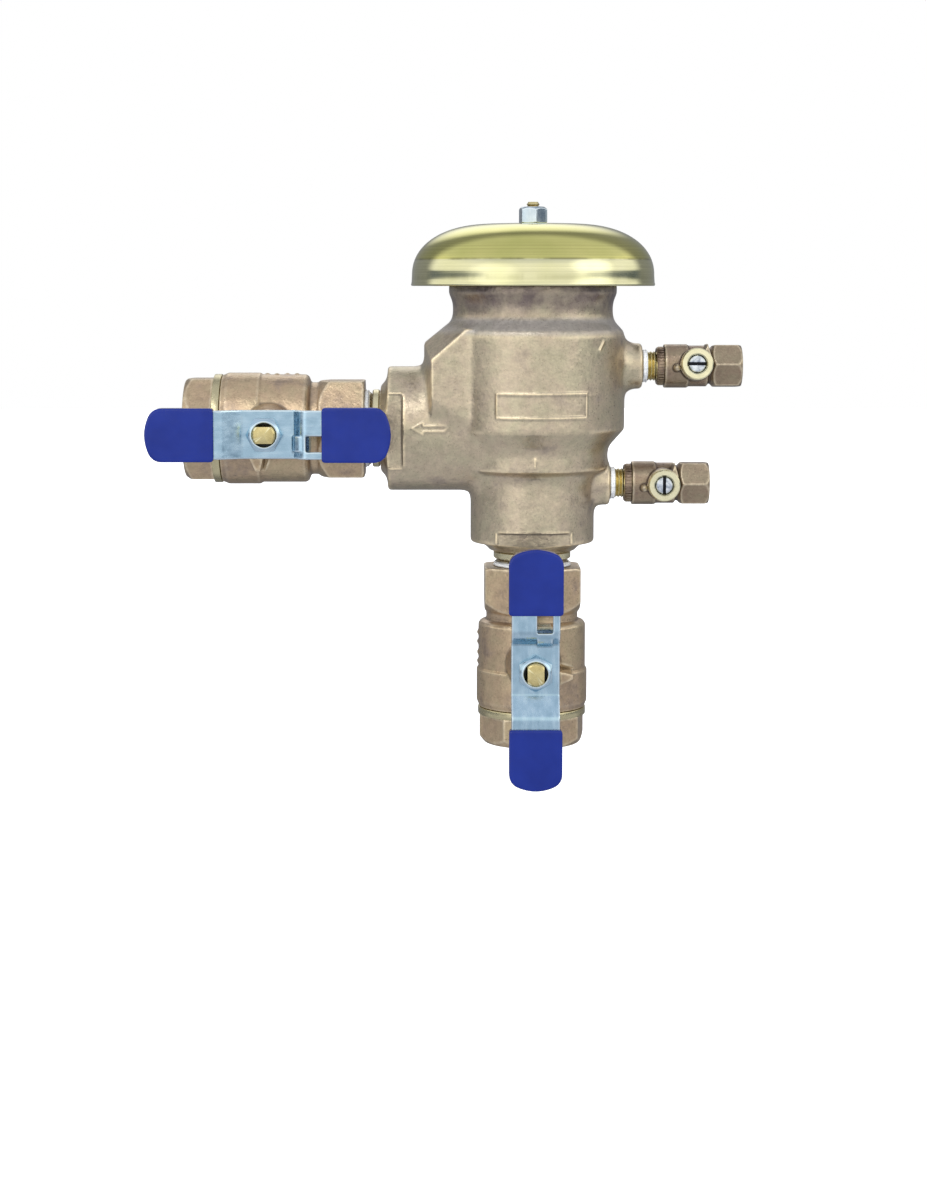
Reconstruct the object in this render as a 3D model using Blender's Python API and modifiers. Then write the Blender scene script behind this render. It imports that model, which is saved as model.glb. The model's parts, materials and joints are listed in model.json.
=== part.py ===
"""A one-inch pressure vacuum breaker for irrigation, with its two ball valves and two test cocks.

Water comes up through the inlet valve at the bottom, lifts the check poppet and leaves to the left
through the outlet valve. The float above the check opens the air inlet under the canopy when the
water stops. The stems and handles face -Y, and the origin is the middle of the inlet's end face.

Lengths below are in millimetres. The helpers turn them into metres.
"""

from math import atan2, cos, pi, radians, sin

import bmesh
import bpy
from mathutils import Matrix, Vector

MM = 0.001
GAP = 0.3

# Driving dimensions: the pipework.
SOCKET_RADIUS = 15.9
THREAD_RADIUS = SOCKET_RADIUS - GAP
PIPE_RADIUS = 16.7
PIPE_BORE = 13.0
NIPPLE_LENGTH = 38.0
NIPPLE_SHOWING = 6.8
VALVE_LENGTH = 77.0
VALVE_STEM = 37.0
OUTLET_FACE = 65.4
OUTLET_Z = 136.5
INLET_FACE_Z = VALVE_LENGTH + NIPPLE_SHOWING
OUTLET_STEM_X = -(OUTLET_FACE + NIPPLE_SHOWING + VALVE_LENGTH - VALVE_STEM)

# Driving dimensions: the casting and what it holds.
CHAMBER_RADIUS = 39.5
NECK_RADIUS = 34.3
RIM_RADIUS = 36.0
RIM_TOP = 199.0
SLEEVE_BORE = 30.6
BOSS_RADIUS = 26.7
CANOPY_RADIUS = 52.3
CANOPY_BOTTOM = 197.6
CANOPY_TOP = 224.0
CANOPY_SHEET = 1.2
SEAT_TOP = 121.0
GUIDE_PIN = 3.2
STUD_RADIUS = 3.17

# Driving dimensions: a ball valve. Heights are measured from the flow axis out along the stem.
BALL_RADIUS = 17.5
BALL_PORT = 12.5
STEM_RADIUS = 4.8
STEM_FLATS = 7.2
HANDLE_HEIGHT = 42.0
HANDLE_SHEET = 2.2
HANDLE_WIDTH = 20.2
WING_RISE = 5.0
HANDLE_ENDS = (-47.5, 50.8)
GRIP_WALL = 1.2

# Driving dimensions: a test cock.
COCK_STEM = 22.4
COCK_THREAD = 5.9
COCK_BALL = 5.6
LOWER_COCK = (33.4, 112.9, 0.0)
UPPER_COCK = (47.0, 163.3, 5.4)

# Facets round a turned piece.
COARSE, MEDIUM, FINE = 12, 20, 32

ALONG_X = Matrix.Rotation(radians(90), 4, "Y")
LEFTWARD = Matrix.Rotation(radians(-90), 4, "Y")
FORWARD = Matrix.Rotation(radians(90), 4, "X")
QUARTER_TURN = Matrix.Rotation(radians(90), 4, "Y")


def shift(x=0.0, y=0.0, z=0.0):
    return Matrix.Translation(Vector((x, y, z)) * MM)


# Helpers that make and combine solids. Each solid is an object at the world's origin.


def solid_from(mesh):
    solid = bpy.data.objects.new("solid", mesh)
    bpy.context.scene.collection.objects.link(solid)
    return solid


def solid_from_bmesh(shape):
    bmesh.ops.recalc_face_normals(shape, faces=shape.faces)
    mesh = bpy.data.meshes.new("solid")
    shape.to_mesh(mesh)
    shape.free()
    return solid_from(mesh)


def apply_modifiers(solid):
    """Makes the solid's modifiers part of its mesh."""
    graph = bpy.context.evaluated_depsgraph_get()
    mesh = bpy.data.meshes.new_from_object(solid.evaluated_get(graph))
    solid.modifiers.clear()
    solid.data = mesh
    return solid


def weld(mesh):
    """Merges points that lie within a hundredth of a millimetre."""
    shape = bmesh.new()
    shape.from_mesh(mesh)
    bmesh.ops.remove_doubles(shape, verts=shape.verts, dist=0.01 * MM)
    bmesh.ops.dissolve_degenerate(shape, edges=shape.edges, dist=0.001 * MM)
    shape.to_mesh(mesh)
    shape.free()


def combine(operation, base, others):
    """Joins, cuts or intersects the base with all the others in one Boolean, and removes them."""
    tools = bpy.data.collections.new("tools")
    for other in others:
        tools.objects.link(other)
    modifier = base.modifiers.new(operation, "BOOLEAN")
    modifier.operation = operation
    modifier.operand_type = "COLLECTION"
    modifier.collection = tools
    apply_modifiers(base)
    weld(base.data)
    for other in others:
        bpy.data.objects.remove(other)
    bpy.data.collections.remove(tools)
    return base


def united(base, *others):
    return combine("UNION", base, others)


def cut(base, *others):
    return combine("DIFFERENCE", base, others)


def common(base, *others):
    return combine("INTERSECT", base, others)


def moved(solid, *matrices):
    for matrix in matrices:
        solid.data.transform(matrix)
    return solid


def turned(profile, segments=MEDIUM):
    """A solid of revolution about Z. The profile lists (radius, height) down the outer side.

    A profile that starts off the axis is a closed loop, and makes a ring.
    """
    shape = bmesh.new()
    points = [shape.verts.new((radius * MM, 0, height * MM)) for radius, height in profile]
    if profile[0][0] > 0:
        points.append(points[0])
    for start, end in zip(points, points[1:]):
        shape.edges.new((start, end))
    mesh = bpy.data.meshes.new("profile")
    shape.to_mesh(mesh)
    shape.free()
    solid = solid_from(mesh)
    screw = solid.modifiers.new("Turn", "SCREW")
    screw.steps = screw.render_steps = segments
    screw.use_merge_vertices = True
    screw.merge_threshold = 0.00001
    return apply_modifiers(solid)


def rod(radius, low, high, segments=COARSE):
    return turned([(0, high), (radius, high), (radius, low), (0, low)], segments)


def ring(outer, inner, low, high, segments=MEDIUM):
    return turned([(outer, high), (outer, low), (inner, low), (inner, high)], segments)


def box(low, high):
    size = [(b - a) * MM for a, b in zip(low, high)]
    middle = [(a + b) / 2 for a, b in zip(low, high)]
    shape = bmesh.new()
    bmesh.ops.create_cube(shape, size=1, matrix=Matrix.Diagonal((*size, 1)))
    return moved(solid_from_bmesh(shape), shift(*middle))


def prism(sides, across_flats, low, high):
    """A regular prism about Z with a corner on Y."""
    corner = across_flats / 2 / cos(pi / sides) * MM
    shape = bmesh.new()
    bmesh.ops.create_cone(
        shape,
        cap_ends=True,
        segments=sides,
        radius1=corner,
        radius2=corner,
        depth=(high - low) * MM,
    )
    return moved(solid_from_bmesh(shape), shift(z=(low + high) / 2))


def nut(across_flats, low, high, chamfer, bore, sides=6):
    """A prism whose upper corners are turned off by the chamfer, with a bore through it."""
    across_corners = across_flats / cos(pi / sides)
    lathe = turned(
        [
            (0, high),
            (across_flats / 2, high),
            (across_corners / 2 + 0.1, high - chamfer),
            (across_corners / 2 + 0.1, low - 1),
            (0, low - 1),
        ]
    )
    blank = common(prism(sides, across_flats, low, high), lathe)
    return cut(blank, rod(bore, low - 1, high + 1))


def outline(points, thickness):
    """A closed flat outline in XY, with half its thickness on each side of Z = 0."""
    curve = bpy.data.curves.new("outline", "CURVE")
    curve.dimensions = "2D"
    curve.fill_mode = "BOTH"
    curve.extrude = thickness / 2 * MM
    spline = curve.splines.new("POLY")
    spline.points.add(len(points) - 1)
    for point, (x, y) in zip(spline.points, points):
        point.co = (x * MM, y * MM, 0, 1)
    spline.use_cyclic_u = True
    return mesh_from_curve(curve)


def mesh_from_curve(curve):
    """The curve's surface as a closed solid, with its loose caps welded on."""
    guide = solid_from(curve)
    graph = bpy.context.evaluated_depsgraph_get()
    mesh = bpy.data.meshes.new_from_object(guide.evaluated_get(graph))
    bpy.data.objects.remove(guide)
    shape = bmesh.new()
    shape.from_mesh(mesh)
    bmesh.ops.remove_doubles(shape, verts=shape.verts, dist=0.00001)
    return solid_from_bmesh(shape)


def arc(centre, radius, start, end, steps):
    """Points on an arc, with its angles in degrees."""
    angles = [radians(start + (end - start) * i / steps) for i in range(steps + 1)]
    return [(centre[0] + radius * cos(a), centre[1] + radius * sin(a)) for a in angles]


def tongue(width, root, tip, corner, thickness):
    """A flat strip along Y from a square root to a tip with rounded corners."""
    half = width / 2
    way = 1 if tip > root else -1
    centre_y = tip - way * corner
    right = arc((half - corner, centre_y), corner, 0, 90 * way, 4)
    left = [(-x, y) for x, y in reversed(right)]
    return outline([(half, root)] + right + left + [(-half, root)], thickness)


def bent_strip(line, thickness, width):
    """A sheet that follows a line in YZ, its lower face on the line, with its width along X."""
    upper = []
    for i, (y, z) in enumerate(line):
        before = line[max(i - 1, 0)]
        after = line[min(i + 1, len(line) - 1)]
        back = atan2(z - before[1], y - before[0]) if i > 0 else None
        ahead = atan2(after[1] - z, after[0] - y) if i < len(line) - 1 else back
        back = ahead if back is None else back
        mitre = (ahead - back) / 2
        lean = (ahead + back) / 2
        reach = thickness / cos(mitre)
        upper.append((y - reach * sin(lean), z + reach * cos(lean)))
    to_yz = Matrix(((0, 0, 1, 0), (1, 0, 0, 0), (0, 1, 0, 0), (0, 0, 0, 1)))
    return moved(outline(line + upper[::-1], width), to_yz)


def material(name, colour, metallic, roughness):
    finish = bpy.data.materials.new(name)
    finish.use_nodes = True
    shader = finish.node_tree.nodes["Principled BSDF"]
    shader.inputs["Base Color"].default_value = (*colour, 1)
    shader.inputs["Metallic"].default_value = metallic
    shader.inputs["Roughness"].default_value = roughness
    finish.diffuse_color = (*colour, 1)
    return finish


def finished_mesh(name, solid, finish):
    """The solid's mesh, named and finished. The solid itself is removed."""
    mesh = solid.data
    mesh.name = name
    bpy.data.objects.remove(solid)
    mesh.materials.clear()
    mesh.materials.append(finish)
    mesh.shade_smooth()
    mesh.set_sharp_from_angle(angle=radians(35))
    return mesh


def place(name, mesh, parts, parent=None, matrix=None):
    piece = bpy.data.objects.new(name, mesh)
    piece.parent = parent
    piece.matrix_basis = matrix or Matrix.Identity(4)
    parts.objects.link(piece)
    return piece


def frame_empty(name, matrix, parts):
    empty = bpy.data.objects.new(name, None)
    empty.empty_display_size = 0.02
    empty.matrix_basis = matrix
    parts.objects.link(empty)
    return empty


# The casting.


def casting_outside():
    barrel = turned(
        [
            (0, RIM_TOP),
            (35.2, RIM_TOP),
            (RIM_RADIUS, 198.2),
            (RIM_RADIUS, 194.5),
            (NECK_RADIUS, 190.3),
            (NECK_RADIUS, 184.0),
            (38.4, 178.6),
            (CHAMBER_RADIUS, 175.4),
            (CHAMBER_RADIUS, 136.4),
            (33.2, 129.3),
            (32.4, 127.5),
            (32.4, 119.6),
            (27.6, 117.6),
            (BOSS_RADIUS, 116.4),
            (BOSS_RADIUS, 88.2),
            (26.0, 87.5),
            (21.7, 87.5),
            (18.2, INLET_FACE_Z),
            (0, INLET_FACE_Z),
        ],
        FINE,
    )
    outlet = turned(
        [
            (0, OUTLET_FACE),
            (18.2, OUTLET_FACE),
            (21.7, 62.3),
            (26.0, 62.3),
            (BOSS_RADIUS, 61.6),
            (BOSS_RADIUS, 10.0),
            (0, 10.0),
        ],
        FINE,
    )
    moved(outlet, LEFTWARD, shift(z=OUTLET_Z))
    return united(barrel, outlet, outlet_lobe(), *cock_bosses())


def outlet_lobe():
    """The box-like swelling where the chamber turns into the outlet."""
    top = 180.7
    silhouette = [(-46.7, 130.0), (-10.0, 130.0), (-10.0, top), (-35.5, top), (-46.7, 171.0)]
    lobe = moved(outline(silhouette, 56.6), FORWARD)
    round_off = lobe.modifiers.new("Round off", "BEVEL")
    round_off.width = 8.0 * MM
    round_off.segments = 2
    return apply_modifiers(lobe)


def cock_bosses():
    for radius, root, (face, height, _) in ((9.6, 22.0, LOWER_COCK), (9.8, 36.0, UPPER_COCK)):
        yield moved(rod(radius, root, face), ALONG_X, shift(z=height))


def casting_inside():
    """The solids that the casting's ways and chamber are cut with."""
    chamber = turned(
        [
            (0, 201),
            (SLEEVE_BORE, 201),
            (SLEEVE_BORE, 181.5),
            (35.2, 176.5),
            (35.2, 138.6),
            (28.6, 130.5),
            (28.6, 119.8),
            (15.6, 119.8),
            (15.6, SEAT_TOP),
            (PIPE_BORE, SEAT_TOP),
            (PIPE_BORE, 116.8),
            (19.5, 114.0),
            (19.5, 103.5),
            (SOCKET_RADIUS, 101.5),
            (SOCKET_RADIUS, 80),
            (0, 80),
        ],
        MEDIUM,
    )
    outlet_way = turned(
        [
            (0, 70),
            (SOCKET_RADIUS, 70),
            (SOCKET_RADIUS, 47.9),
            (PIPE_BORE, 47.9),
            (PIPE_BORE, 45.5),
            (20, 45.5),
            (20, 20),
            (0, 20),
        ],
        MEDIUM,
    )
    moved(outlet_way, LEFTWARD, shift(z=OUTLET_Z))
    yield chamber
    yield outlet_way
    yield box((-42.2, -23.5, 137.0), (-15.0, 23.5, 165.0))
    for depth, (face, height, _) in ((8.9, LOWER_COCK), (9.5, UPPER_COCK)):
        threaded = rod(COCK_THREAD + 2 * GAP, face - depth, face + 1)
        yield moved(threaded, ALONG_X, shift(z=height))
        yield moved(rod(3.0, face - depth - 6, face - depth + 1), ALONG_X, shift(z=height))


def wrench_flats():
    """The flats at the front and back of both pipe bosses."""
    for way in (-1, 1):
        near, far = sorted((way * 21.4, way * 30.0))
        yield box((-30, near, 80), (30, far, 93.2))
        yield box((-70, near, OUTLET_Z - 30), (-55.5, far, OUTLET_Z + 30))


def casting():
    return cut(casting_outside(), *casting_inside(), *wrench_flats())


# What sits in and on the casting.


def bonnet():
    """The air inlet's seat, with the ribs and the hub that carry the canopy."""
    sleeve = turned(
        [
            (35.4, 203.3),
            (35.4, RIM_TOP + GAP),
            (30.2, RIM_TOP + GAP),
            (30.2, 196.8),
            (28.4, 196.8),
            (28.4, 194.2),
            (30.2, 194.2),
            (30.2, 183.0),
            (26.5, 183.0),
            (26.5, 188.0),
            (18.5, 188.0),
            (18.0, 187.2),
            (16.5, 187.2),
            (16.5, 191.5),
            (26.5, 191.5),
            (26.5, 203.3),
        ]
    )
    hub = rod(7.5, 195.0, CANOPY_TOP - CANOPY_SHEET - GAP)
    for side in range(3):
        rib = box((-31, -1.5, 201), (31, 1.5, 211))
        hub = united(hub, moved(rib, Matrix.Rotation(radians(60 * side), 4, "Z")))
    whole = united(hub, sleeve)
    return cut(whole, rod(3.5, 194, 207.6), rod(3.5, 209.2, 224))


def o_ring(mean_radius, height, section, segments=MEDIUM):
    """A round rubber ring with its section drawn in six points."""
    angles = [radians(-60 * i) for i in range(6)]
    circle = [(mean_radius + section * cos(a), height + section * sin(a)) for a in angles]
    return turned(circle, segments)


def canopy():
    """The spun bell: a flat crown, a superelliptic shoulder and a short straight skirt."""
    crown, skirt_top, power = 18.0, 202.0, 2.2

    def shoulder(radius, top):
        for i in range(8):
            angle = pi / 2 * (1 - i / 7)
            across = (radius - crown) * cos(angle) ** (2 / power)
            up = (top - skirt_top) * sin(angle) ** (2 / power)
            yield crown + across, skirt_top + up

    outer = list(shoulder(CANOPY_RADIUS - 0.4, CANOPY_TOP))
    inner = list(shoulder(CANOPY_RADIUS - 0.4 - CANOPY_SHEET, CANOPY_TOP - CANOPY_SHEET))
    hole = STUD_RADIUS + 0.4
    profile = [(hole, CANOPY_TOP)] + outer
    profile += [(CANOPY_RADIUS, CANOPY_BOTTOM), (CANOPY_RADIUS - CANOPY_SHEET, CANOPY_BOTTOM)]
    profile += inner[::-1] + [(hole, CANOPY_TOP - CANOPY_SHEET)]
    return turned(profile, FINE)


def canopy_stud():
    top = 233.4
    return turned([(0, top), (2.6, top), (STUD_RADIUS, top - 0.9), (STUD_RADIUS, 209.5), (0, 209.5)], COARSE)


def poppet_guide():
    """A spider that hangs in the bonnet: a hub for the check's stem, on three legs."""
    hub = turned([(6.2, 170), (6.2, 153), (11.5, 153), (11.5, 150.5), (3.6, 150.5), (3.6, 170)], COARSE)
    legs = ring(26.2, 24.0, 160, 186.5)
    base = ring(26.2, 5.0, 160, 163)
    keep = [
        moved(box((0, -4, 159), (30, 4, 188)), Matrix.Rotation(radians(120 * i + 30), 4, "Z"))
        for i in range(3)
    ]
    spider = common(united(legs, base), united(*keep))
    return united(hub, spider)


def float_poppet():
    return turned(
        [
            (0, 198.5),
            (GUIDE_PIN, 198.5),
            (GUIDE_PIN, 181.0),
            (9.7, 181.0),
            (9.7, 177.5),
            (21.5, 177.5),
            (21.5, 172.5),
            (6.2, 172.5),
            (6.2, 170.3),
            (0, 170.3),
        ]
    )


def check_poppet():
    return turned(
        [
            (0, 158.0),
            (GUIDE_PIN, 158.0),
            (GUIDE_PIN, 129.5),
            (8.0, 129.5),
            (8.0, 127.4),
            (16.6, 127.4),
            (16.6, 124.6),
            (6.2, 124.6),
            (6.2, 119.0),
            (0, 119.0),
        ]
    )


def check_spring():
    """A compression spring: a helix of round wire."""
    turns, steps, low, high = 6, 10, 128.35, 149.6
    curve = bpy.data.curves.new("spring", "CURVE")
    curve.dimensions = "3D"
    curve.bevel_depth = 0.55 * MM
    curve.bevel_resolution = 1
    curve.use_fill_caps = True
    spline = curve.splines.new("POLY")
    spline.points.add(turns * steps)
    for i, point in enumerate(spline.points):
        angle = 2 * pi * i / steps
        height = low + (high - low) * i / (turns * steps)
        point.co = (9.4 * cos(angle) * MM, 9.4 * sin(angle) * MM, height * MM, 1)
    return mesh_from_curve(curve)


def nipple():
    """A close nipple about Z, centred, with its plain ring on the +Z side."""
    end = NIPPLE_LENGTH / 2
    ring_top = NIPPLE_SHOWING / 2 - GAP
    return turned(
        [
            (THREAD_RADIUS - 0.6, end),
            (THREAD_RADIUS, end - 1),
            (THREAD_RADIUS, ring_top),
            (PIPE_RADIUS, ring_top),
            (PIPE_RADIUS, ring_top - 3.4),
            (THREAD_RADIUS, ring_top - 3.4),
            (THREAD_RADIUS, 1 - end),
            (THREAD_RADIUS - 0.6, -end),
            (PIPE_BORE, -end),
            (PIPE_BORE, end),
        ]
    )


def nipple_tape():
    low = GAP - NIPPLE_SHOWING / 2
    return ring(PIPE_RADIUS - 0.2, SOCKET_RADIUS, low, low + 1.6)


# A ball valve, about Z from its outer end to its hexagon, with its stem on -Y at the origin.


def at(distance_from_outer_end):
    return distance_from_outer_end - VALVE_STEM


def valve_body():
    shell = turned(
        [
            (0, at(57)),
            (19.8, at(57)),
            (19.8, at(54)),
            (23.2, at(51)),
            (23.2, at(31.3)),
            (24.15, at(30.2)),
            (24.15, at(14.5)),
            (23.2, at(13.5)),
            (0, at(13.5)),
        ]
    )
    hexagon = common(
        prism(6, 41.2, at(56), at(77)),
        turned([(0, at(78)), (24.5, at(78)), (24.5, at(63)), (19.8, at(57)), (0, at(57))]),
    )
    gland = turned([(0, 33.5), (10.2, 33.5), (11.0, 28.0), (13.5, 20.0), (13.5, 12.0), (0, 12.0)], COARSE)
    stops = [
        box((12.6, at(27), 14), (19.5, at(31.3), 31)),
        box((-6.0, at(50), 15), (0.1, at(54), 31)),
    ]
    whole = united(shell, hexagon, *(moved(solid, FORWARD) for solid in [gland] + stops))
    flow_way = turned(
        [
            (0, at(78)),
            (SOCKET_RADIUS, at(78)),
            (SOCKET_RADIUS, at(60.5)),
            (12.7, at(60.5)),
            (12.7, at(52.3)),
            (17.1, at(52.3)),
            (17.1, at(47.9)),
            (18.3, at(47.9)),
            (18.3, at(24)),
            (19.9, at(24)),
            (19.9, at(12)),
            (0, at(12)),
        ]
    )
    stem_way = turned(
        [
            (0, 36.0),
            (7.4, 36.0),
            (7.4, 26.5),
            (5.1, 26.5),
            (5.1, 22.0),
            (7.3, 22.0),
            (7.3, 10.0),
            (0, 10.0),
        ],
        COARSE,
    )
    return cut(whole, flow_way, moved(stem_way, FORWARD))


def valve_retainer():
    """The octagonal end piece that screws into the valve body."""
    octagon = common(
        prism(8, 42.2, at(0), at(12)),
        turned([(0, at(13)), (25, at(13)), (25, at(2.2)), (20.6, at(0)), (0, at(0))]),
    )
    flange = rod(23.3, at(11.6), at(13.2), MEDIUM)
    thread = rod(19.5, at(13), at(21.7), MEDIUM)
    flow_way = turned(
        [
            (0, at(30)),
            (12.7, at(30)),
            (12.7, at(16.5)),
            (SOCKET_RADIUS, at(16.5)),
            (SOCKET_RADIUS, at(-1)),
            (0, at(-1)),
        ]
    )
    return cut(united(octagon, flange, thread), flow_way)


def valve_ball(radius, port, slot_width, slot_floor, segments):
    """A ball with its port along Z and, on the stem's side, a slot for the stem across the port."""
    shape = bmesh.new()
    bmesh.ops.create_uvsphere(
        shape, u_segments=segments, v_segments=segments // 2, radius=radius * MM
    )
    through = rod(port, -radius - 1, radius + 1)
    slot = box((-radius, -slot_width / 2, slot_floor), (radius, slot_width / 2, radius + 1))
    return cut(solid_from_bmesh(shape), through, moved(slot, FORWARD))


def valve_seat(way):
    """A seat ring on one side of the ball: way is 1 towards the hexagon."""
    near, far = 11.2, 15.0
    profile = [(16.8, near), (13.8, near), (12.8, far), (16.8, far)]
    return turned([(radius, way * height) for radius, height in profile][::way])


def valve_stem():
    """The stem, with a tang in the ball's slot and two flats under the handle's nut."""
    shaft = turned(
        [
            (0, 50.5),
            (STEM_RADIUS - 0.6, 50.5),
            (STEM_RADIUS, 49.9),
            (STEM_RADIUS, 20.4),
            (7.0, 20.4),
            (7.0, 18.0),
            (0, 18.0),
        ],
        COARSE,
    )
    tang = box((-5.5, -2.3, 14.4), (5.5, 2.3, 19.0))
    flats = [
        box((STEM_FLATS / 2, -9, HANDLE_HEIGHT - 0.5), (9, 9, 44.3)),
        box((-9, -9, HANDLE_HEIGHT - 0.5), (-STEM_FLATS / 2, 9, 44.3)),
    ]
    return moved(cut(united(shaft, tang), *flats), FORWARD)


def packing_nut():
    thread = rod(7.1, 30.6, 35.0)
    body = cut(united(prism(6, 17.5, 33.8, 40.5), thread), rod(STEM_RADIUS + GAP, 30, 42))
    return moved(body, FORWARD)


def handle():
    """The pressed tee handle: a low middle, two raised wings and a stop tab bent down."""
    low, high = HANDLE_HEIGHT, HANDLE_HEIGHT + WING_RISE
    near, far = HANDLE_ENDS
    line = [(near, high), (-18.7, high), (-9.9, low), (13.2, low), (16.9, high), (far, high)]
    sheet = bent_strip(line, HANDLE_SHEET, HANDLE_WIDTH)
    plan = united(
        moved(tongue(HANDLE_WIDTH - 0.01, 1, far, 5.0, 20), shift(z=high)),
        moved(tongue(HANDLE_WIDTH - 0.01, 2, near, 5.0, 20), shift(z=high)),
    )
    tab = box((0.4, 14.2, 28.0), (5.4, 16.4, 45.0))
    window = box((0.1, 16.9, 40), (7.1, 26.0, 60))
    stem_hole = common(
        rod(STEM_RADIUS + 0.25, 40, 46),
        box((-STEM_FLATS / 2 - 0.2, -9, 39), (STEM_FLATS / 2 + 0.2, 9, 47)),
    )
    return moved(cut(united(common(sheet, plan), tab), window, stem_hole), FORWARD)


def handle_nut():
    return moved(nut(14.3, 44.5, 49.0, 1.2, STEM_RADIUS + GAP), FORWARD)


def grip(root, tip, width):
    """A dipped vinyl grip round one wing, open at its root."""
    middle = HANDLE_HEIGHT + WING_RISE + HANDLE_SHEET / 2
    way = 1 if tip > root else -1
    wing_end = HANDLE_ENDS[1] if way > 0 else HANDLE_ENDS[0]
    hollow = HANDLE_SHEET + 2 * GAP
    body = tongue(width, root, tip, 6.2, hollow + 2 * GRIP_WALL)
    pocket = tongue(HANDLE_WIDTH + 2 * GAP, root - way, wing_end + way * GAP, 5.0, hollow)
    return moved(cut(body, pocket), shift(z=middle), FORWARD)


# A test cock, about X from the casting outwards, with its stem on -Y at the origin.


def out(distance_from_boss):
    return distance_from_boss - COCK_STEM


def cock_tailpiece():
    """The threaded end that screws into the casting and closes the cock's ball chamber."""
    profile = [
        (6.0, out(15.1)),
        (6.0, out(9.1)),
        (8.25, out(9.1)),
        (8.25, out(6.1)),
        (6.7, out(6.1)),
        (COCK_THREAD, out(3.5)),
        (COCK_THREAD, out(-7.7)),
        (COCK_THREAD - 0.7, out(-8.5)),
        (2.6, out(-8.5)),
        (2.6, out(15.1)),
    ]
    return moved(turned(profile, COARSE), ALONG_X)


def cock_body():
    shell = turned(
        [
            (0, out(31)),
            (8.0, out(31)),
            (8.0, out(28.4)),
            (8.8, out(27.6)),
            (8.8, out(19.8)),
            (9.35, out(19.2)),
            (9.35, out(9.4)),
            (0, out(9.4)),
        ],
        COARSE,
    )
    hexagon = prism(6, 17.5, out(29.8), out(42.6))
    flow_way = turned(
        [
            (0, out(44)),
            (COCK_THREAD, out(44)),
            (COCK_THREAD, out(32)),
            (2.8, out(32)),
            (2.8, out(29.7)),
            (6.3, out(29.7)),
            (6.3, out(8)),
            (0, out(8)),
        ],
        COARSE,
    )
    stem_boss = rod(6.9, 4, 12)
    stem_way = turned([(0, 14), (4.0, 14), (4.0, 7.4), (4.9, 7.4), (4.9, 1), (0, 1)], COARSE)
    whole = united(moved(united(shell, hexagon), ALONG_X), moved(stem_boss, FORWARD))
    return cut(whole, moved(flow_way, ALONG_X), moved(stem_way, FORWARD))


def cock_seat(way):
    near, mid, far = 4.1, 5.3, 7.0
    profile = [(5.9, near), (4.2, near), (3.2, mid), (3.2, far), (5.9, far)]
    ring_about_z = turned([(radius, way * height) for radius, height in profile][::way], COARSE)
    return moved(ring_about_z, ALONG_X)


def cock_stem():
    """The stem with its screwdriver slot along the ball's port."""
    shaft = turned(
        [
            (0, 15.4),
            (3.7, 15.4),
            (3.7, 10.25),
            (2.7, 10.25),
            (2.7, 8.75),
            (3.7, 8.75),
            (3.7, 7.1),
            (4.6, 7.1),
            (4.6, 6.1),
            (0, 6.1),
        ],
        COARSE,
    )
    tang = box((-0.7, -2.4, 4.6), (0.7, 2.4, 6.6))
    slot = box((-5, -0.68, 14.0), (5, 0.68, 17))
    return moved(cut(united(shaft, tang), slot), FORWARD)


def cock_ball():
    about_z = valve_ball(COCK_BALL, 2.8, 1.9, 4.3, 12)
    return moved(about_z, ALONG_X)


def gland_ring():
    return moved(ring(6.75, 4.0, 12.0 + GAP, 15.8, COARSE), FORWARD)


# The assembly.


def build_main(parts, finishes):
    bronze, brass, zinc, rubber, plastic, steel, tape = finishes
    pieces = [
        ("main_body", casting(), bronze),
        ("bonnet", bonnet(), bronze),
        ("bonnet_o_ring", o_ring(29.5, 195.5, 0.8), rubber),
        ("canopy", canopy(), brass),
        ("canopy_stud", canopy_stud(), brass),
        ("canopy_nut", nut(11.1, CANOPY_TOP + GAP, 231.4, 1.0, STUD_RADIUS + GAP), zinc),
        ("poppet_guide", poppet_guide(), plastic),
        ("check_spring", check_spring(), steel),
    ]
    for name, solid, finish in pieces:
        place(name, finished_mesh(name, solid, finish), parts)
    float_frame = frame_empty("float_frame", shift(z=175), parts)
    check_frame = frame_empty("check_frame", shift(z=125), parts)
    sliding = [
        ("float_poppet", float_poppet(), plastic, float_frame),
        ("float_seal", ring(20.5, 10.0, 177.8, 179.3), rubber, float_frame),
        ("check_poppet", check_poppet(), plastic, check_frame),
        ("check_seal", ring(16.3, 6.5, SEAT_TOP + GAP, 124.3), rubber, check_frame),
    ]
    for name, solid, finish, frame in sliding:
        moved(solid, frame.matrix_basis.inverted())
        place(name, finished_mesh(name, solid, finish), parts, frame)
    pipe = finished_mesh("nipple", nipple(), bronze)
    wrap = finished_mesh("nipple_tape", nipple_tape(), tape)
    inlet = shift(z=INLET_FACE_Z - NIPPLE_SHOWING / 2)
    outlet = shift(x=-OUTLET_FACE - NIPPLE_SHOWING / 2, z=OUTLET_Z) @ ALONG_X
    for name, matrix in (("inlet", inlet), ("outlet", outlet)):
        place(name + "_nipple", pipe, parts, None, matrix)
        place(name + "_nipple_tape", wrap, parts, None, matrix)


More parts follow.
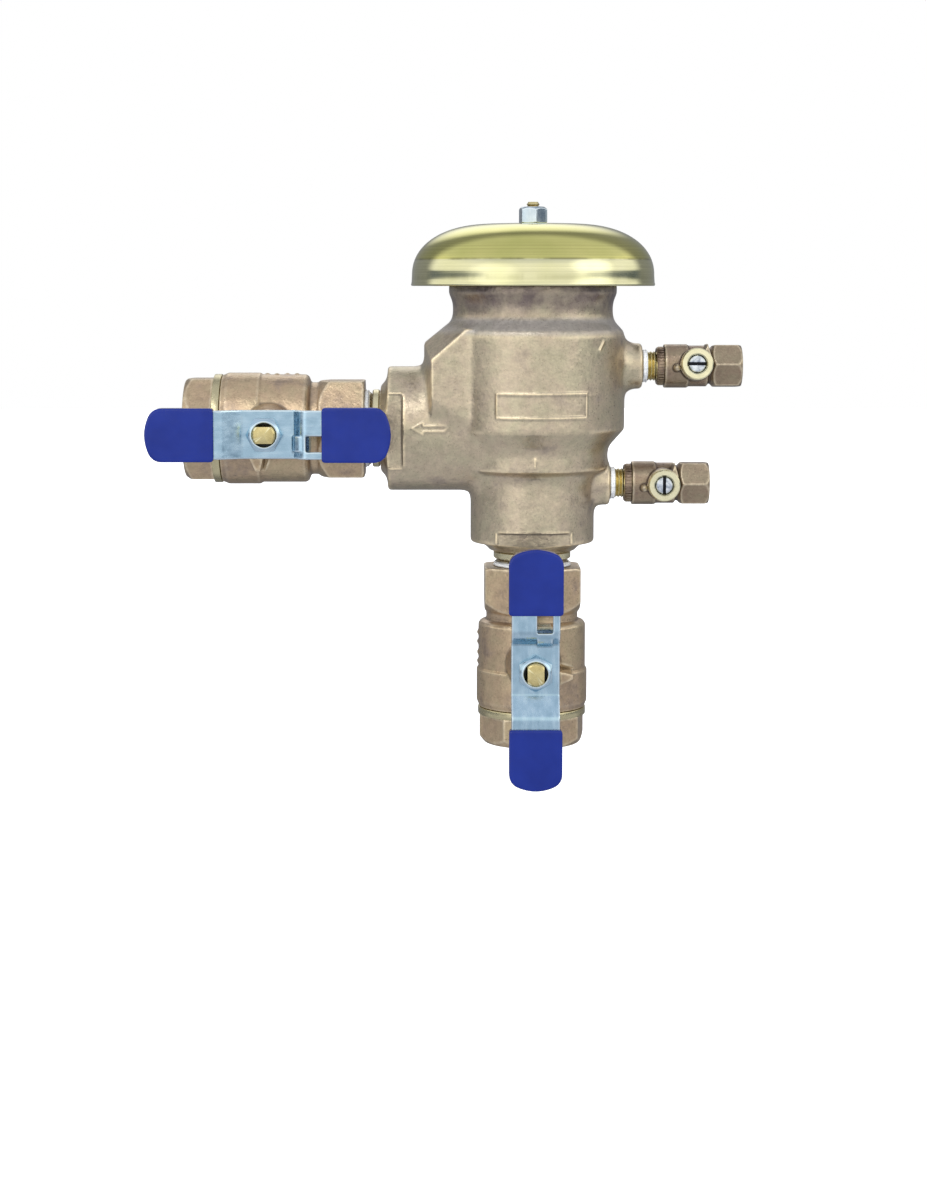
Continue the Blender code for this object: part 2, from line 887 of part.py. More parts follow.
def build_ball_valves(parts, finishes):
    bronze, _, zinc, rubber, plastic, steel, _ = finishes
    vinyl = material("blue_vinyl", (0.02, 0.04, 0.32), 0.0, 0.25)
    solids = {
        "body": (valve_body(), bronze),
        "retainer": (valve_retainer(), bronze),
        "ball": (valve_ball(BALL_RADIUS, BALL_PORT, 5.2, 14.0, 20), steel),
        "seat_outer": (valve_seat(-1), plastic),
        "seat_inner": (valve_seat(1), plastic),
        "stem": (valve_stem(), bronze),
        "stem_washer": (moved(ring(7.0, 5.1, 20.7, 21.7, COARSE), FORWARD), plastic),
        "stem_packing": (moved(ring(7.1, 5.1, 26.8, 30.3, COARSE), FORWARD), plastic),
        "packing_nut": (packing_nut(), bronze),
        "handle": (handle(), zinc),
        "handle_nut": (handle_nut(), zinc),
        "grip_outer": (grip(-20.9, -49.0, 22.8), vinyl),
        "grip_inner": (grip(24.0, 52.3, 23.2), vinyl),
    }
    meshes = {
        name: finished_mesh("valve_" + name, solid, finish)
        for name, (solid, finish) in solids.items()
    }
    frames = {
        "inlet": (shift(z=VALVE_STEM), 12.1),
        "outlet": (shift(x=OUTLET_STEM_X, z=OUTLET_Z) @ ALONG_X, 22.5),
    }
    for side, (matrix, octagon_turn) in frames.items():
        frame = frame_empty(side + "_valve_frame", matrix, parts)
        for name, mesh in meshes.items():
            turn = Matrix.Rotation(radians(octagon_turn), 4, "Z") if name == "retainer" else None
            place(f"{side}_valve_{name}", mesh, parts, frame, turn)


def build_test_cocks(parts, finishes):
    bronze, brass, _, rubber, plastic, steel, tape = finishes
    solids = {
        "tailpiece": (cock_tailpiece(), brass),
        "body": (cock_body(), bronze),
        "ball": (cock_ball(), steel),
        "seat_inner": (cock_seat(-1), plastic),
        "seat_outer": (cock_seat(1), plastic),
        "stem": (cock_stem(), steel),
        "stem_o_ring": (moved(o_ring(3.35, 9.5, 0.34, COARSE), FORWARD), rubber),
        "gland_ring": (gland_ring(), brass),
        "tape": (moved(ring(6.8, 6.2, out(GAP), out(2.1), COARSE), ALONG_X), tape),
    }
    meshes = {
        name: finished_mesh("cock_" + name, solid, finish)
        for name, (solid, finish) in solids.items()
    }
    closed = {"ball", "stem", "stem_o_ring"}
    for level, (face, height, roll) in (("lower", LOWER_COCK), ("upper", UPPER_COCK)):
        matrix = shift(x=face + COCK_STEM, z=height) @ Matrix.Rotation(radians(-roll), 4, "X")
        frame = frame_empty(level + "_test_cock_frame", matrix, parts)
        for name, mesh in meshes.items():
            turn = QUARTER_TURN if level == "lower" and name in closed else None
            place(f"{level}_test_cock_{name}", mesh, parts, frame, turn)


def main():
    for old in list(bpy.data.objects):
        bpy.data.objects.remove(old, do_unlink=True)
    parts = bpy.data.collections.new("backflow_preventer")
    bpy.context.scene.collection.children.link(parts)
    finishes = (
        material("cast_bronze", (0.42, 0.33, 0.21), 0.8, 0.45),
        material("spun_brass", (0.62, 0.55, 0.22), 1.0, 0.25),
        material("zinc_plate", (0.62, 0.66, 0.72), 1.0, 0.25),
        material("black_rubber", (0.02, 0.02, 0.02), 0.0, 0.6),
        material("white_plastic", (0.8, 0.8, 0.76), 0.0, 0.4),
        material("bright_steel", (0.7, 0.7, 0.7), 1.0, 0.2),
        material("thread_tape", (0.85, 0.85, 0.85), 0.0, 0.6),
    )
    build_main(parts, finishes)
    build_ball_valves(parts, finishes)
    build_test_cocks(parts, finishes)


main()
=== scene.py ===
"""How the backflow preventer looks: sand-cast bronze, spun brass, bent zinc handles and vinyl grips.

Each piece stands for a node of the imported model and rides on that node's body. The frames of the
valves and the test cocks come from the joints. Lengths in the helpers are in millimetres.
"""

import json
from math import atan2, cos, degrees, hypot, pi, radians, sin, sqrt, tan

import bmesh
import bpy
import numpy as np
from mathutils import Matrix, Vector

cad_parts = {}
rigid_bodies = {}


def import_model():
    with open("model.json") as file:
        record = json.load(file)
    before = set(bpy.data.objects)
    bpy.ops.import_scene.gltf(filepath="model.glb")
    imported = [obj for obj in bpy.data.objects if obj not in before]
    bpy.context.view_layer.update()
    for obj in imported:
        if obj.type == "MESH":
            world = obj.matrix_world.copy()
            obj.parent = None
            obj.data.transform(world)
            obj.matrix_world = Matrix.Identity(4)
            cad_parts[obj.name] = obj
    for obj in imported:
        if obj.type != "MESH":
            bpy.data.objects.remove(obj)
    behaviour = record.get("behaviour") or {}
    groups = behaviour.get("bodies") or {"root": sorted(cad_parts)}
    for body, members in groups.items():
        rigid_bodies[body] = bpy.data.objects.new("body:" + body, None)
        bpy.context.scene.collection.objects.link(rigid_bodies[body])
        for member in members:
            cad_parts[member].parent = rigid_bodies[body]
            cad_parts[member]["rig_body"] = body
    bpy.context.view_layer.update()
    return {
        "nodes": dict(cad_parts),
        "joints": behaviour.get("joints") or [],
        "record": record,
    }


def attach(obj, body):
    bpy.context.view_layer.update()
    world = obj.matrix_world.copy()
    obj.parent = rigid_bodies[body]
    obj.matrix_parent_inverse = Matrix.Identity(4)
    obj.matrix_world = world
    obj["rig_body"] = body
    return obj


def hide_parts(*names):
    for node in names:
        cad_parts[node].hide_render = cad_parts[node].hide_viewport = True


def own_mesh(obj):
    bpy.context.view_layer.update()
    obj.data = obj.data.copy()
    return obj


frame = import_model()

MM = 0.001
WELD = 0.00001

# The pipework and the casting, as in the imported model.
SOCKET_RADIUS = 15.9
THREAD_RADIUS = 15.6
PIPE_RADIUS = 16.7
PIPE_BORE = 13.0
NIPPLE_LENGTH = 38.0
NIPPLE_SHOWING = 6.8
OUTLET_FACE = 65.4
OUTLET_Z = 136.5
INLET_FACE_Z = 83.8
CHAMBER_RADIUS = 39.5
SHOULDER_LOW = 176.5
SHOULDER_HIGH = 185.0
BOSS_RADIUS = 26.7
FLAT_DEPTH = 21.4
CANOPY_RADIUS = 52.3
CANOPY_BOTTOM = 197.6
CANOPY_TOP = 224.0
CANOPY_SHEET = 1.2
# The height where the canopy shows its painted reflection of the horizon.
SKIRT_HORIZON_LINE = 209.0

# A ball valve: its stem's place from its outer end, and what sits on the stem.
VALVE_STEM = 37.0
STEM_RADIUS = 4.8
STEM_FLATS = 6.9
HANDLE_HEIGHT = 42.0
HANDLE_SHEET = 2.2
HANDLE_WIDTH = 20.2
WING_RISE = 5.0
HANDLE_ENDS = (-47.5, 50.8)

# Each grip's root and tip along its handle, and its width.
GRIPS = {
    "inlet_valve": {"outer": (-23.0, -48.9, 22.2), "inner": (24.7, 52.3, 22.7)},
    "outlet_valve": {"outer": (-20.6, -49.0, 22.2), "inner": (23.8, 52.3, 22.7)},
}

# A test cock: its stem's place from its boss, and for each cock the boss's face and height.
COCK_STEM = 22.4
COCK_THREAD = 5.9
SLOT_FLOOR = 13.6
LOWER_COCK = (33.4, 112.9)
UPPER_COCK = (47.0, 163.3)

# Thread pitches: one-inch pipe, quarter-inch pipe and the canopy's stud.
PIPE_PITCH = 2.2
COCK_PITCH = 1.41
STUD_PITCH = 1.27


def shift(x=0.0, y=0.0, z=0.0):
    return Matrix.Translation(Vector((x, y, z)) * MM)


def turn(angle, axis="Z"):
    return Matrix.Rotation(radians(angle), 4, axis)


STRAIGHT = Matrix.Identity(4)
ALONG_X = turn(90, "Y")
LEFTWARD = turn(-90, "Y")
FORWARD = turn(90, "X")


def add_to_scene(item):
    bpy.context.scene.collection.objects.link(item)
    return item


# Solids. Each is a mesh object at the world's origin until it is shown.


def solid_from(mesh):
    return add_to_scene(bpy.data.objects.new("solid", mesh))


def solid_from_bmesh(shape):
    bmesh.ops.recalc_face_normals(shape, faces=shape.faces)
    mesh = bpy.data.meshes.new("solid")
    shape.to_mesh(mesh)
    shape.free()
    return solid_from(mesh)


def evaluated(solid):
    """The solid's mesh with its modifiers, or a curve's as a mesh."""
    graph = bpy.context.evaluated_depsgraph_get()
    return bpy.data.meshes.new_from_object(solid.evaluated_get(graph))


def apply_modifiers(solid):
    mesh = evaluated(solid)
    solid.modifiers.clear()
    solid.data = mesh
    return solid


def combine(operation, base, others):
    """Joins, cuts or intersects the base with all the others at once, and removes them."""
    tools = bpy.data.collections.new("tools")
    for other in others:
        tools.objects.link(other)
    modifier = base.modifiers.new(operation, "BOOLEAN")
    modifier.operation = operation
    modifier.solver = "MANIFOLD"
    modifier.operand_type = "COLLECTION"
    modifier.collection = tools
    apply_modifiers(base)
    for other in others:
        bpy.data.objects.remove(other)
    bpy.data.collections.remove(tools)
    return base


def united(base, *others):
    return combine("UNION", base, others)


def cut(base, *others):
    return combine("DIFFERENCE", base, others)


def common(base, other):
    return combine("INTERSECT", base, [other])


def moved(solid, *matrices):
    for matrix in matrices:
        solid.data.transform(matrix)
    return solid


def turned(profile, segments=96):
    """A solid of revolution about Z. The profile lists (radius, height) down the outer side.

    A profile that starts off the axis is a closed loop, and makes a ring.
    """
    shape = bmesh.new()
    points = [shape.verts.new((radius * MM, 0, height * MM)) for radius, height in profile]
    if profile[0][0] > 0:
        points.append(points[0])
    for start, end in zip(points, points[1:]):
        shape.edges.new((start, end))
    mesh = bpy.data.meshes.new("profile")
    shape.to_mesh(mesh)
    shape.free()
    solid = solid_from(mesh)
    screw = solid.modifiers.new("Turn", "SCREW")
    screw.steps = screw.render_steps = segments
    screw.use_merge_vertices = True
    screw.merge_threshold = WELD
    return apply_modifiers(solid)


def plug(profile, segments=96, origin=0.0):
    """A solid of revolution with no hole. The profile is its side, with heights measured from origin."""
    side = [(radius, height - origin) for radius, height in profile]
    return turned([(0, side[0][1])] + side + [(0, side[-1][1])], segments)


def rod(radius, low, high, segments=64):
    return plug([(radius, high), (radius, low)], segments)


def ring(outer, inner, low, high, segments=96):
    return turned([(outer, high), (outer, low), (inner, low), (inner, high)], segments)


def box(low, high):
    size = [(b - a) * MM for a, b in zip(low, high)]
    middle = [(a + b) / 2 for a, b in zip(low, high)]
    shape = bmesh.new()
    bmesh.ops.create_cube(shape, size=1, matrix=Matrix.Diagonal((*size, 1)))
    return moved(solid_from_bmesh(shape), shift(*middle))


def corner_radius(sides, across_flats):
    return across_flats / 2 / cos(pi / sides)


def prism(sides, across_flats, low, high):
    """A regular prism about Z with a corner on Y."""
    corner = corner_radius(sides, across_flats) * MM
    shape = bmesh.new()
    bmesh.ops.create_cone(
        shape, cap_ends=True, segments=sides, radius1=corner, radius2=corner, depth=(high - low) * MM
    )
    return moved(solid_from_bmesh(shape), shift(z=(low + high) / 2))


def hull(points):
    """The convex solid round some points."""
    shape = bmesh.new()
    for point in points:
        shape.verts.new(Vector(point) * MM)
    result = bmesh.ops.convex_hull(shape, input=shape.verts)
    inside = [v for v in result["geom_interior"] if isinstance(v, bmesh.types.BMVert)]
    bmesh.ops.delete(shape, geom=inside, context="VERTS")
    return solid_from_bmesh(shape)


def ball(radius, centre):
    shape = bmesh.new()
    bmesh.ops.create_icosphere(shape, subdivisions=3, radius=radius * MM)
    return moved(solid_from_bmesh(shape), shift(*centre))


def outline(points, thickness):
    """A closed flat outline in XY, with half its thickness on each side of Z = 0."""
    curve = bpy.data.curves.new("outline", "CURVE")
    curve.dimensions = "2D"
    curve.fill_mode = "BOTH"
    curve.extrude = thickness / 2 * MM
    add_line(curve, [(x, y, 0) for x, y in points], closed=True)
    return mesh_from_curve(curve)


def add_line(curve, points, closed=False):
    line = curve.splines.new("POLY")
    line.points.add(len(points) - 1)
    for point, place in zip(line.points, points):
        point.co = (*(Vector(place) * MM), 1)
    line.use_cyclic_u = closed


def mesh_from_curve(curve):
    """The curve's surface as a closed solid, with its loose caps welded on."""
    guide = solid_from(curve)
    shape = bmesh.new()
    shape.from_mesh(evaluated(guide))
    bpy.data.objects.remove(guide)
    bmesh.ops.remove_doubles(shape, verts=shape.verts, dist=WELD)
    return solid_from_bmesh(shape)


def bead(points, radius, closed=False):
    """A round bead along a line of points, for cast-on outlines."""
    curve = bpy.data.curves.new("bead", "CURVE")
    curve.dimensions = "3D"
    curve.bevel_depth = radius * MM
    curve.bevel_resolution = 2
    curve.use_fill_caps = True
    add_line(curve, points, closed)
    return mesh_from_curve(curve)


def arc(centre, radius, start, end, steps):
    """Points on an arc, with its angles in degrees."""
    angles = [radians(start + (end - start) * i / steps) for i in range(steps + 1)]
    return [(centre[0] + radius * cos(a), centre[1] + radius * sin(a)) for a in angles]


def filleted(line, radius, steps=5):
    """The line with each inner corner rounded."""
    smooth = [line[0]]
    places = [Vector(point) for point in line]
    for before, corner, after in zip(places, places[1:], places[2:]):
        back, ahead = before - corner, after - corner
        reach = min(radius / tan(back.angle(ahead) / 2), back.length / 2, ahead.length / 2)
        start = corner + back.normalized() * reach
        end = corner + ahead.normalized() * reach
        for i in range(steps + 1):
            t = i / steps
            smooth.append(tuple(start * (1 - t) ** 2 + corner * 2 * t * (1 - t) + end * t**2))
    return smooth + [line[-1]]


def tongue(width, root, tip, corner, thickness, bulge=0.0):
    """A flat strip along Y from its root to its tip, with round corners at the tip.

    With a bulge, the tip is a shallow arc and the root's corners are rounded too.
    """
    half = width / 2
    way = 1 if tip > root else -1
    flat = half - corner
    lean = atan2(2 * bulge, flat)
    centre_y = tip - way * (corner + bulge)
    right = arc((flat, centre_y), corner, 0, (90 - degrees(lean)) * way, 8)
    end, foot, steps = [], [(half, root)], 6
    if bulge:
        last_x, last_y = right[-1]
        shares = [k / steps for k in range(steps - 1, -steps, -1)]
        end = [(last_x * share, tip - (tip - last_y) * share**2) for share in shares]
        foot = [(half - 1.2, root), (half - 0.35, root + 0.35 * way), (half, root + 1.2 * way)]
    side = foot + right
    return outline(side + end + [(-x, y) for x, y in reversed(side)], thickness)


def bent_strip(line, thickness, width):
    """A sheet that follows a line in YZ, its lower face on the line, with its width along X."""
    slopes = [atan2(end[1] - start[1], end[0] - start[0]) for start, end in zip(line, line[1:])]
    upper = []
    for (y, z), back, ahead in zip(line, slopes[:1] + slopes, slopes + slopes[-1:]):
        lean = (ahead + back) / 2
        reach = thickness / cos((ahead - back) / 2)
        upper.append((y - reach * sin(lean), z + reach * cos(lean)))
    to_yz = Matrix(((0, 0, 1, 0), (1, 0, 0, 0), (0, 1, 0, 0), (0, 0, 0, 1)))
    return moved(outline(line + upper[::-1], width), to_yz)


def softened(solid, voxel, passes):
    """Remeshes the solid into even quads and smooths it, so that its corners get cast fillets."""
    remesh = solid.modifiers.new("Remesh", "REMESH")
    remesh.mode = "VOXEL"
    remesh.voxel_size = voxel * MM
    smooth = solid.modifiers.new("Smooth", "SMOOTH")
    smooth.factor = 0.5
    smooth.iterations = passes
    return apply_modifiers(solid)


class Surface:
    """A mesh's points and edges as arrays, to shape it by how it curves."""

    def __init__(self, mesh):
        self.mesh = mesh
        self.count = len(mesh.vertices)
        self.points = np.empty(self.count * 3, np.float32)
        edges = np.empty(len(mesh.edges) * 2, np.int32)
        mesh.vertices.foreach_get("co", self.points)
        mesh.edges.foreach_get("vertices", edges)
        self.points = self.points.reshape(-1, 3)
        edges = edges.reshape(-1, 2)
        length = np.linalg.norm(self.points[edges[:, 1]] - self.points[edges[:, 0]], axis=1)
        self.starts, self.ends = edges[length < 1.2 * MM].T
        self.shared = np.maximum(self.gather(np.ones(len(self.starts)), np.ones(len(self.starts))), 1)

    def gather(self, to_starts, to_ends):
        gathered = np.bincount(self.starts, to_starts, self.count)
        return gathered + np.bincount(self.ends, to_ends, self.count)

    def mean(self, values):
        return self.gather(values[self.ends], values[self.starts]) / self.shared

    def normals(self):
        normals = np.empty(self.count * 3, np.float32)
        self.mesh.vertices.foreach_get("normal", normals)
        return normals.reshape(-1, 3)


def filled_in(solid, passes):
    """Fills the inner corners with fillets, as in a sand casting, and leaves the outer ones."""
    surface = Surface(solid.data)
    for i in range(passes):
        if i % 12 == 0:
            normals = surface.normals()
        mean = np.stack([surface.mean(surface.points[:, axis]) for axis in range(3)], axis=1)
        rise = np.einsum("ij,ij->i", mean - surface.points, normals)
        surface.points += (0.8 * np.maximum(rise - 0.002 * MM, 0))[:, None] * normals
        if i % 12 == 11:
            solid.data.vertices.foreach_set("co", surface.points.ravel())
            solid.data.update()
    return solid


def with_convexity(solid, passes=7):
    """Stores how far each point sticks out of the surface round it, as the attribute wear."""
    surface = Surface(solid.data)
    normals = surface.normals()
    starts, ends = surface.starts, surface.ends
    step = surface.points[ends] - surface.points[starts]
    square = np.maximum(np.einsum("ij,ij->i", step, step), 1e-12)
    at_starts = -np.einsum("ij,ij->i", normals[starts], step) / square
    at_ends = np.einsum("ij,ij->i", normals[ends], step) / square
    # Positive on corners and negative in hollows; the finishes paint shade into the hollows and highlights
    # onto the corners from it.
    wear = np.clip(surface.gather(at_starts, at_ends) / surface.shared * MM, -1.5, 1.5)
    for _ in range(passes):
        wear = 0.4 * wear + 0.6 * surface.mean(wear)
    layer = solid.data.attributes.new("wear", "FLOAT", "POINT")
    layer.data.foreach_set("value", wear.astype(np.float32))
    return solid


def bevelled(solid, width, segments=2, angle=35):
    bevel = solid.modifiers.new("Bevel", "BEVEL")
    bevel.width = width * MM
    bevel.segments = segments
    bevel.limit_method = "ANGLE"
    bevel.angle_limit = radians(angle)
    bevel.harden_normals = False
    return apply_modifiers(solid)


def rumpled(solid, depth, waves):
    """Pushes a turned solid in and out round its axis, as wound tape lies."""
    for vertex in solid.data.vertices:
        x, y, z = vertex.co
        angle = atan2(y, x)
        wave = sin(waves * angle + z / MM * 2.1) + 0.6 * sin((2 * waves + 3) * angle - z / MM * 3.7)
        factor = 1 + wave * depth * MM / max(hypot(x, y), MM)
        vertex.co.x *= factor
        vertex.co.y *= factor
        vertex.co.z += 0.35 * depth * MM * sin((waves + 1) * angle)
    return solid


def thread(radius, depth, pitch, start, end):
    """Profile points down a thread, from height start to the lower height end."""
    points = []
    turns = int((start - end) / pitch)
    for i in range(turns):
        top = start - i * pitch
        points += [(radius - depth, top), (radius, top - 0.42 * pitch), (radius, top - 0.58 * pitch)]
    return points + [(radius - depth, start - turns * pitch)]


# Materials. Each finish goes into finishes by its name.

finishes = {}


class Nodes:
    """A node tree, with helpers that add nodes to it."""

    def __init__(self, owner):
        owner.use_nodes = True
        self.tree = owner.node_tree
        self.nodes = self.tree.nodes

    def node(self, kind, **values):
        """A new node. Each value is for the input of that name, or else for the property."""
        node = self.nodes.new("ShaderNode" + kind)
        for key, value in values.items():
            if key in node.inputs:
                node.inputs[key].default_value = value
            else:
                setattr(node, key, value)
        return node

    def link(self, source, target):
        self.tree.links.new(source, target)

    def span(self, source, low, high, first=0.0, last=1.0, curve="LINEAR"):
        """A value that goes from first to last while the source goes from low to high."""
        ends = {"From Min": low, "From Max": high, "To Min": first, "To Max": last}
        span = self.node("MapRange", interpolation_type=curve, **ends)
        self.link(source, span.inputs["Value"])
        return span.outputs["Result"]

    def ramp(self, source, *stops):
        """Colours or greys along a value: each stop is (position, colour or grey)."""
        ramp = self.node("ValToRGB")
        elements = ramp.color_ramp.elements
        while len(elements) < len(stops):
            elements.new(0.5)
        for element, (position, colour) in zip(elements, stops):
            element.position = position
            element.color = (*colour, 1) if isinstance(colour, tuple) else (colour, colour, colour, 1)
        self.link(source, ramp.inputs["Fac"])
        return ramp.outputs["Color"]

    def mix(self, factor, first, second, blend="MIX"):
        """Mixes two colours. Each is a socket or a colour, and the factor a socket or a number."""
        mix = self.node("Mix", data_type="RGBA", blend_type=blend)
        for index, value in ((0, factor), (6, first), (7, second)):
            if isinstance(value, bpy.types.NodeSocket):
                self.link(value, mix.inputs[index])
            else:
                mix.inputs[index].default_value = (*value, 1) if isinstance(value, tuple) else value
        return mix.outputs[2]

    def times(self, first, second):
        return self.mix(1.0, first, second, "MULTIPLY")


class Finish(Nodes):
    """A Principled material whose patterns lie in the piece's own frame."""

    def __init__(self, name, colour, metallic, roughness, **sockets):
        finishes[name] = bpy.data.materials.new(name)
        super().__init__(finishes[name])
        self.shader = self.nodes["Principled BSDF"]
        values = {"Base Color": (*colour, 1), "Metallic": metallic, "Roughness": roughness, **sockets}
        for socket, value in values.items():
            self.shader.inputs[socket].default_value = value
        self.place = self.node("TexCoord").outputs["Object"]

    def noise(self, size, detail=3.0, roughness=0.55, stretch=(1, 1, 1)):
        """A noise whose features are about size millimetres across, stretched along the axes."""
        spread = self.node("Mapping")
        spread.inputs["Scale"].default_value = [1 / s for s in stretch]
        self.link(self.place, spread.inputs["Vector"])
        noise = self.node("TexNoise", Scale=1 / (size * MM), Detail=detail, Roughness=roughness)
        self.link(spread.outputs["Vector"], noise.inputs["Vector"])
        return noise.outputs["Fac"]

    def edges(self, low, high):
        """Painted highlight: white on corners that stick out."""
        return self.ramp(self.node("NewGeometry").outputs["Pointiness"], (low, 0.0), (high, 1.0))

    def wear(self, low, high, last=1.0):
        """A value up from 0 along the wear attribute: corners are above 0 and hollows below it."""
        attribute = self.node("Attribute", attribute_name="wear")
        return self.span(attribute.outputs["Fac"], low, high, 0.0, last)

    def height(self, low, high, axis="Z"):
        """A value that rises from 0 to 1 between two places along an axis of the piece's own frame."""
        split = self.node("SeparateXYZ")
        self.link(self.place, split.inputs[0])
        return self.span(split.outputs[axis], low * MM, high * MM)

    def around_stem(self, outer, inner):
        """A value that rises from 0 to 1 from one distance to a smaller one round the Y axis."""
        flat = self.node("VectorMath", operation="MULTIPLY")
        flat.inputs[1].default_value = (1, 0, 1)
        self.link(self.place, flat.inputs[0])
        length = self.node("VectorMath", operation="LENGTH")
        self.link(flat.outputs["Vector"], length.inputs[0])
        return self.span(length.outputs["Value"], outer * MM, inner * MM)

    def colour(self, source):
        self.link(source, self.shader.inputs["Base Color"])

    def cloud(self, source, dark, light):
        """Lets the base colour drift between two tones along a value."""
        self.colour(self.ramp(source, (0.3, dark), (0.7, light)))

    def roughness(self, source, low, high):
        self.link(self.ramp(source, (0.3, low), (0.7, high)), self.shader.inputs["Roughness"])

    def bump(self, *layers):
        """Bumps, each as (height source, depth in millimetres)."""
        normal = None
        for source, depth in layers:
            bump = self.node("Bump", Distance=depth * MM)
            self.link(source, bump.inputs["Height"])
            if normal:
                self.link(normal, bump.inputs["Normal"])
            normal = bump.outputs["Normal"]
        self.link(normal, self.shader.inputs["Normal"])


def cast_bronze(name, green, tan_tone, dark, edge_rub_and_highlight, neck_shade_heights=None):
    """Sand-cast bronze: a mottled tan skin with a fine grain, pale on its edges, with painted shade in its
    hollows. The pale edges are partly worn by rubbing and partly a painted highlight.

    Given two heights, the skin turns purple-grey between them with painted shade under the canopy, and its
    shoulder gets a band of painted light.
    """
    finish = Finish(name, tan_tone, 0.8, 0.4)
    blotches = finish.mix(0.5, finish.noise(24, 2.0), finish.noise(7, 4.0, 0.6))
    skin = finish.ramp(blotches, (0.36, dark), (0.45, tan_tone), (0.62, green))
    # Painted shade up the neck and painted light round the shoulder.
    if neck_shade_heights:
        skin = shade_up_neck_light_on_shoulder(finish, skin, neck_shade_heights)
    grain = finish.noise(0.9, 4.0, 0.7)
    skin = finish.mix(0.8, skin, finish.ramp(grain, (0.3, 0.82), (0.72, 1.15)), "MULTIPLY")
    pits = finish.noise(3.2, 3.0, 0.6)
    skin = finish.times(skin, finish.ramp(pits, (0.33, 1.08), (0.5, 1.0), (0.68, 0.88)))
    # Painted shade: the hollows are darkened.
    skin = finish.mix(finish.wear(-0.06, -0.24, 0.8), skin, tuple(0.45 * c for c in dark))
    # Pale edges: partly worn by rubbing, partly a painted highlight.
    rubbed_and_highlit = finish.times(finish.wear(0.03, 0.2), finish.ramp(pits, (0.35, 0.8), (0.62, 0.35)))
    finish.colour(finish.mix(rubbed_and_highlit, skin, edge_rub_and_highlight))
    finish.roughness(grain, 0.25, 0.40)
    finish.bump((finish.noise(5.0, 2.0), 0.22), (finish.noise(1.7, 2.0), 0.12), (grain, 0.04))


def shade_up_neck_light_on_shoulder(finish, skin, heights):
    """The skin with patchy purple-grey painted shade up its neck, where the canopy overhangs, and a dull pale
    grey band of painted light round its shoulder.
    """
    purple, lit_grey, shiny, dull = (0.235, 0.185, 0.165), (0.33, 0.315, 0.32), (0.8,) * 3, (0.1,) * 3
    # Painted shade up the neck, under the canopy.
    patches = finish.ramp(finish.noise(9, 4.0, 0.6), (0.35, 0.35), (0.6, 1.0))
    skin = finish.mix(finish.times(finish.height(*heights), patches), skin, purple)
    # Painted light: the shoulder gets a paler, less metallic grey band, so that it looks lit from the front.
    rise = finish.height(SHOULDER_LOW, SHOULDER_HIGH)
    band = finish.ramp(rise, (0.0, 0.0), (0.3, 0.75), (0.75, 0.75), (1.0, 0.0))
    finish.link(finish.mix(band, shiny, dull), finish.shader.inputs["Metallic"])
    return finish.mix(band, skin, lit_grey)


def spun_brass():
    """Bright spun sheet brass with fine turning lines. Its skirt is paler below a dark painted reflection of
    the horizon, as a painted reflection of the bright floor, and a darker broken band runs just above its
    lip.
    """
    finish = Finish("spun_brass", (0.60, 0.57, 0.25), 1.0, 0.14)
    lines = finish.noise(6, 2.0, stretch=(60, 60, 0.12))
    cloud = finish.noise(26, 3.0)
    dome = finish.ramp(cloud, (0.3, (0.57, 0.55, 0.18)), (0.7, (0.68, 0.63, 0.23)))
    skirt = finish.ramp(cloud, (0.3, (0.66, 0.64, 0.36)), (0.7, (0.74, 0.71, 0.46)))
    # Painted reflection: the skirt below the horizon line is paler than the dome.
    tone = finish.mix(finish.height(SKIRT_HORIZON_LINE, SKIRT_HORIZON_LINE - 0.6), dome, skirt)
    tone = finish.mix(0.35, tone, finish.ramp(lines, (0.35, 0.72), (0.65, 1.12)), "MULTIPLY")
    broken = finish.ramp(finish.noise(9.0, 4.0, stretch=(1, 1, 30)), (0.42, 0.1), (0.6, 1.0))
    # Painted reflection: a dark broken line where the horizon is reflected.
    rise = finish.height(SKIRT_HORIZON_LINE - 1.4, SKIRT_HORIZON_LINE + 0.6)
    band = finish.ramp(rise, (0.0, 0.0), (0.32, 0.0), (0.5, 0.75), (0.62, 0.5), (1.0, 0.0))
    tone = finish.mix(finish.times(band, broken), tone, (0.16, 0.15, 0.06))
    # A darker broken band just above the lip.
    rise = finish.height(CANOPY_BOTTOM + 1.4, CANOPY_BOTTOM + 5.9)
    band_over_lip = finish.ramp(rise, (0.0, 0.0), (0.5, 0.4), (1.0, 0.0))
    finish.colour(finish.mix(finish.times(band_over_lip, broken), tone, (0.32, 0.31, 0.14)))
    finish.roughness(lines, 0.09, 0.17)
    finish.bump((lines, 0.012), (finish.noise(14, 2.0), 0.04))


def machined_brass(name, light, dark):
    """Turned bar brass with tool marks, a slightly dulled patchy tone and a painted highlight on its corners.
    """
    finish = Finish(name, light, 1.0, 0.3)
    tone = finish.ramp(finish.noise(5, 3.0), (0.3, dark), (0.65, light))
    # Painted highlight on the corners.
    finish.colour(finish.mix(finish.edges(0.52, 0.6), tone, (0.9, 0.82, 0.5)))
    marks = finish.noise(0.7, 2.0)
    finish.roughness(marks, 0.2, 0.42)
    finish.bump((marks, 0.02))


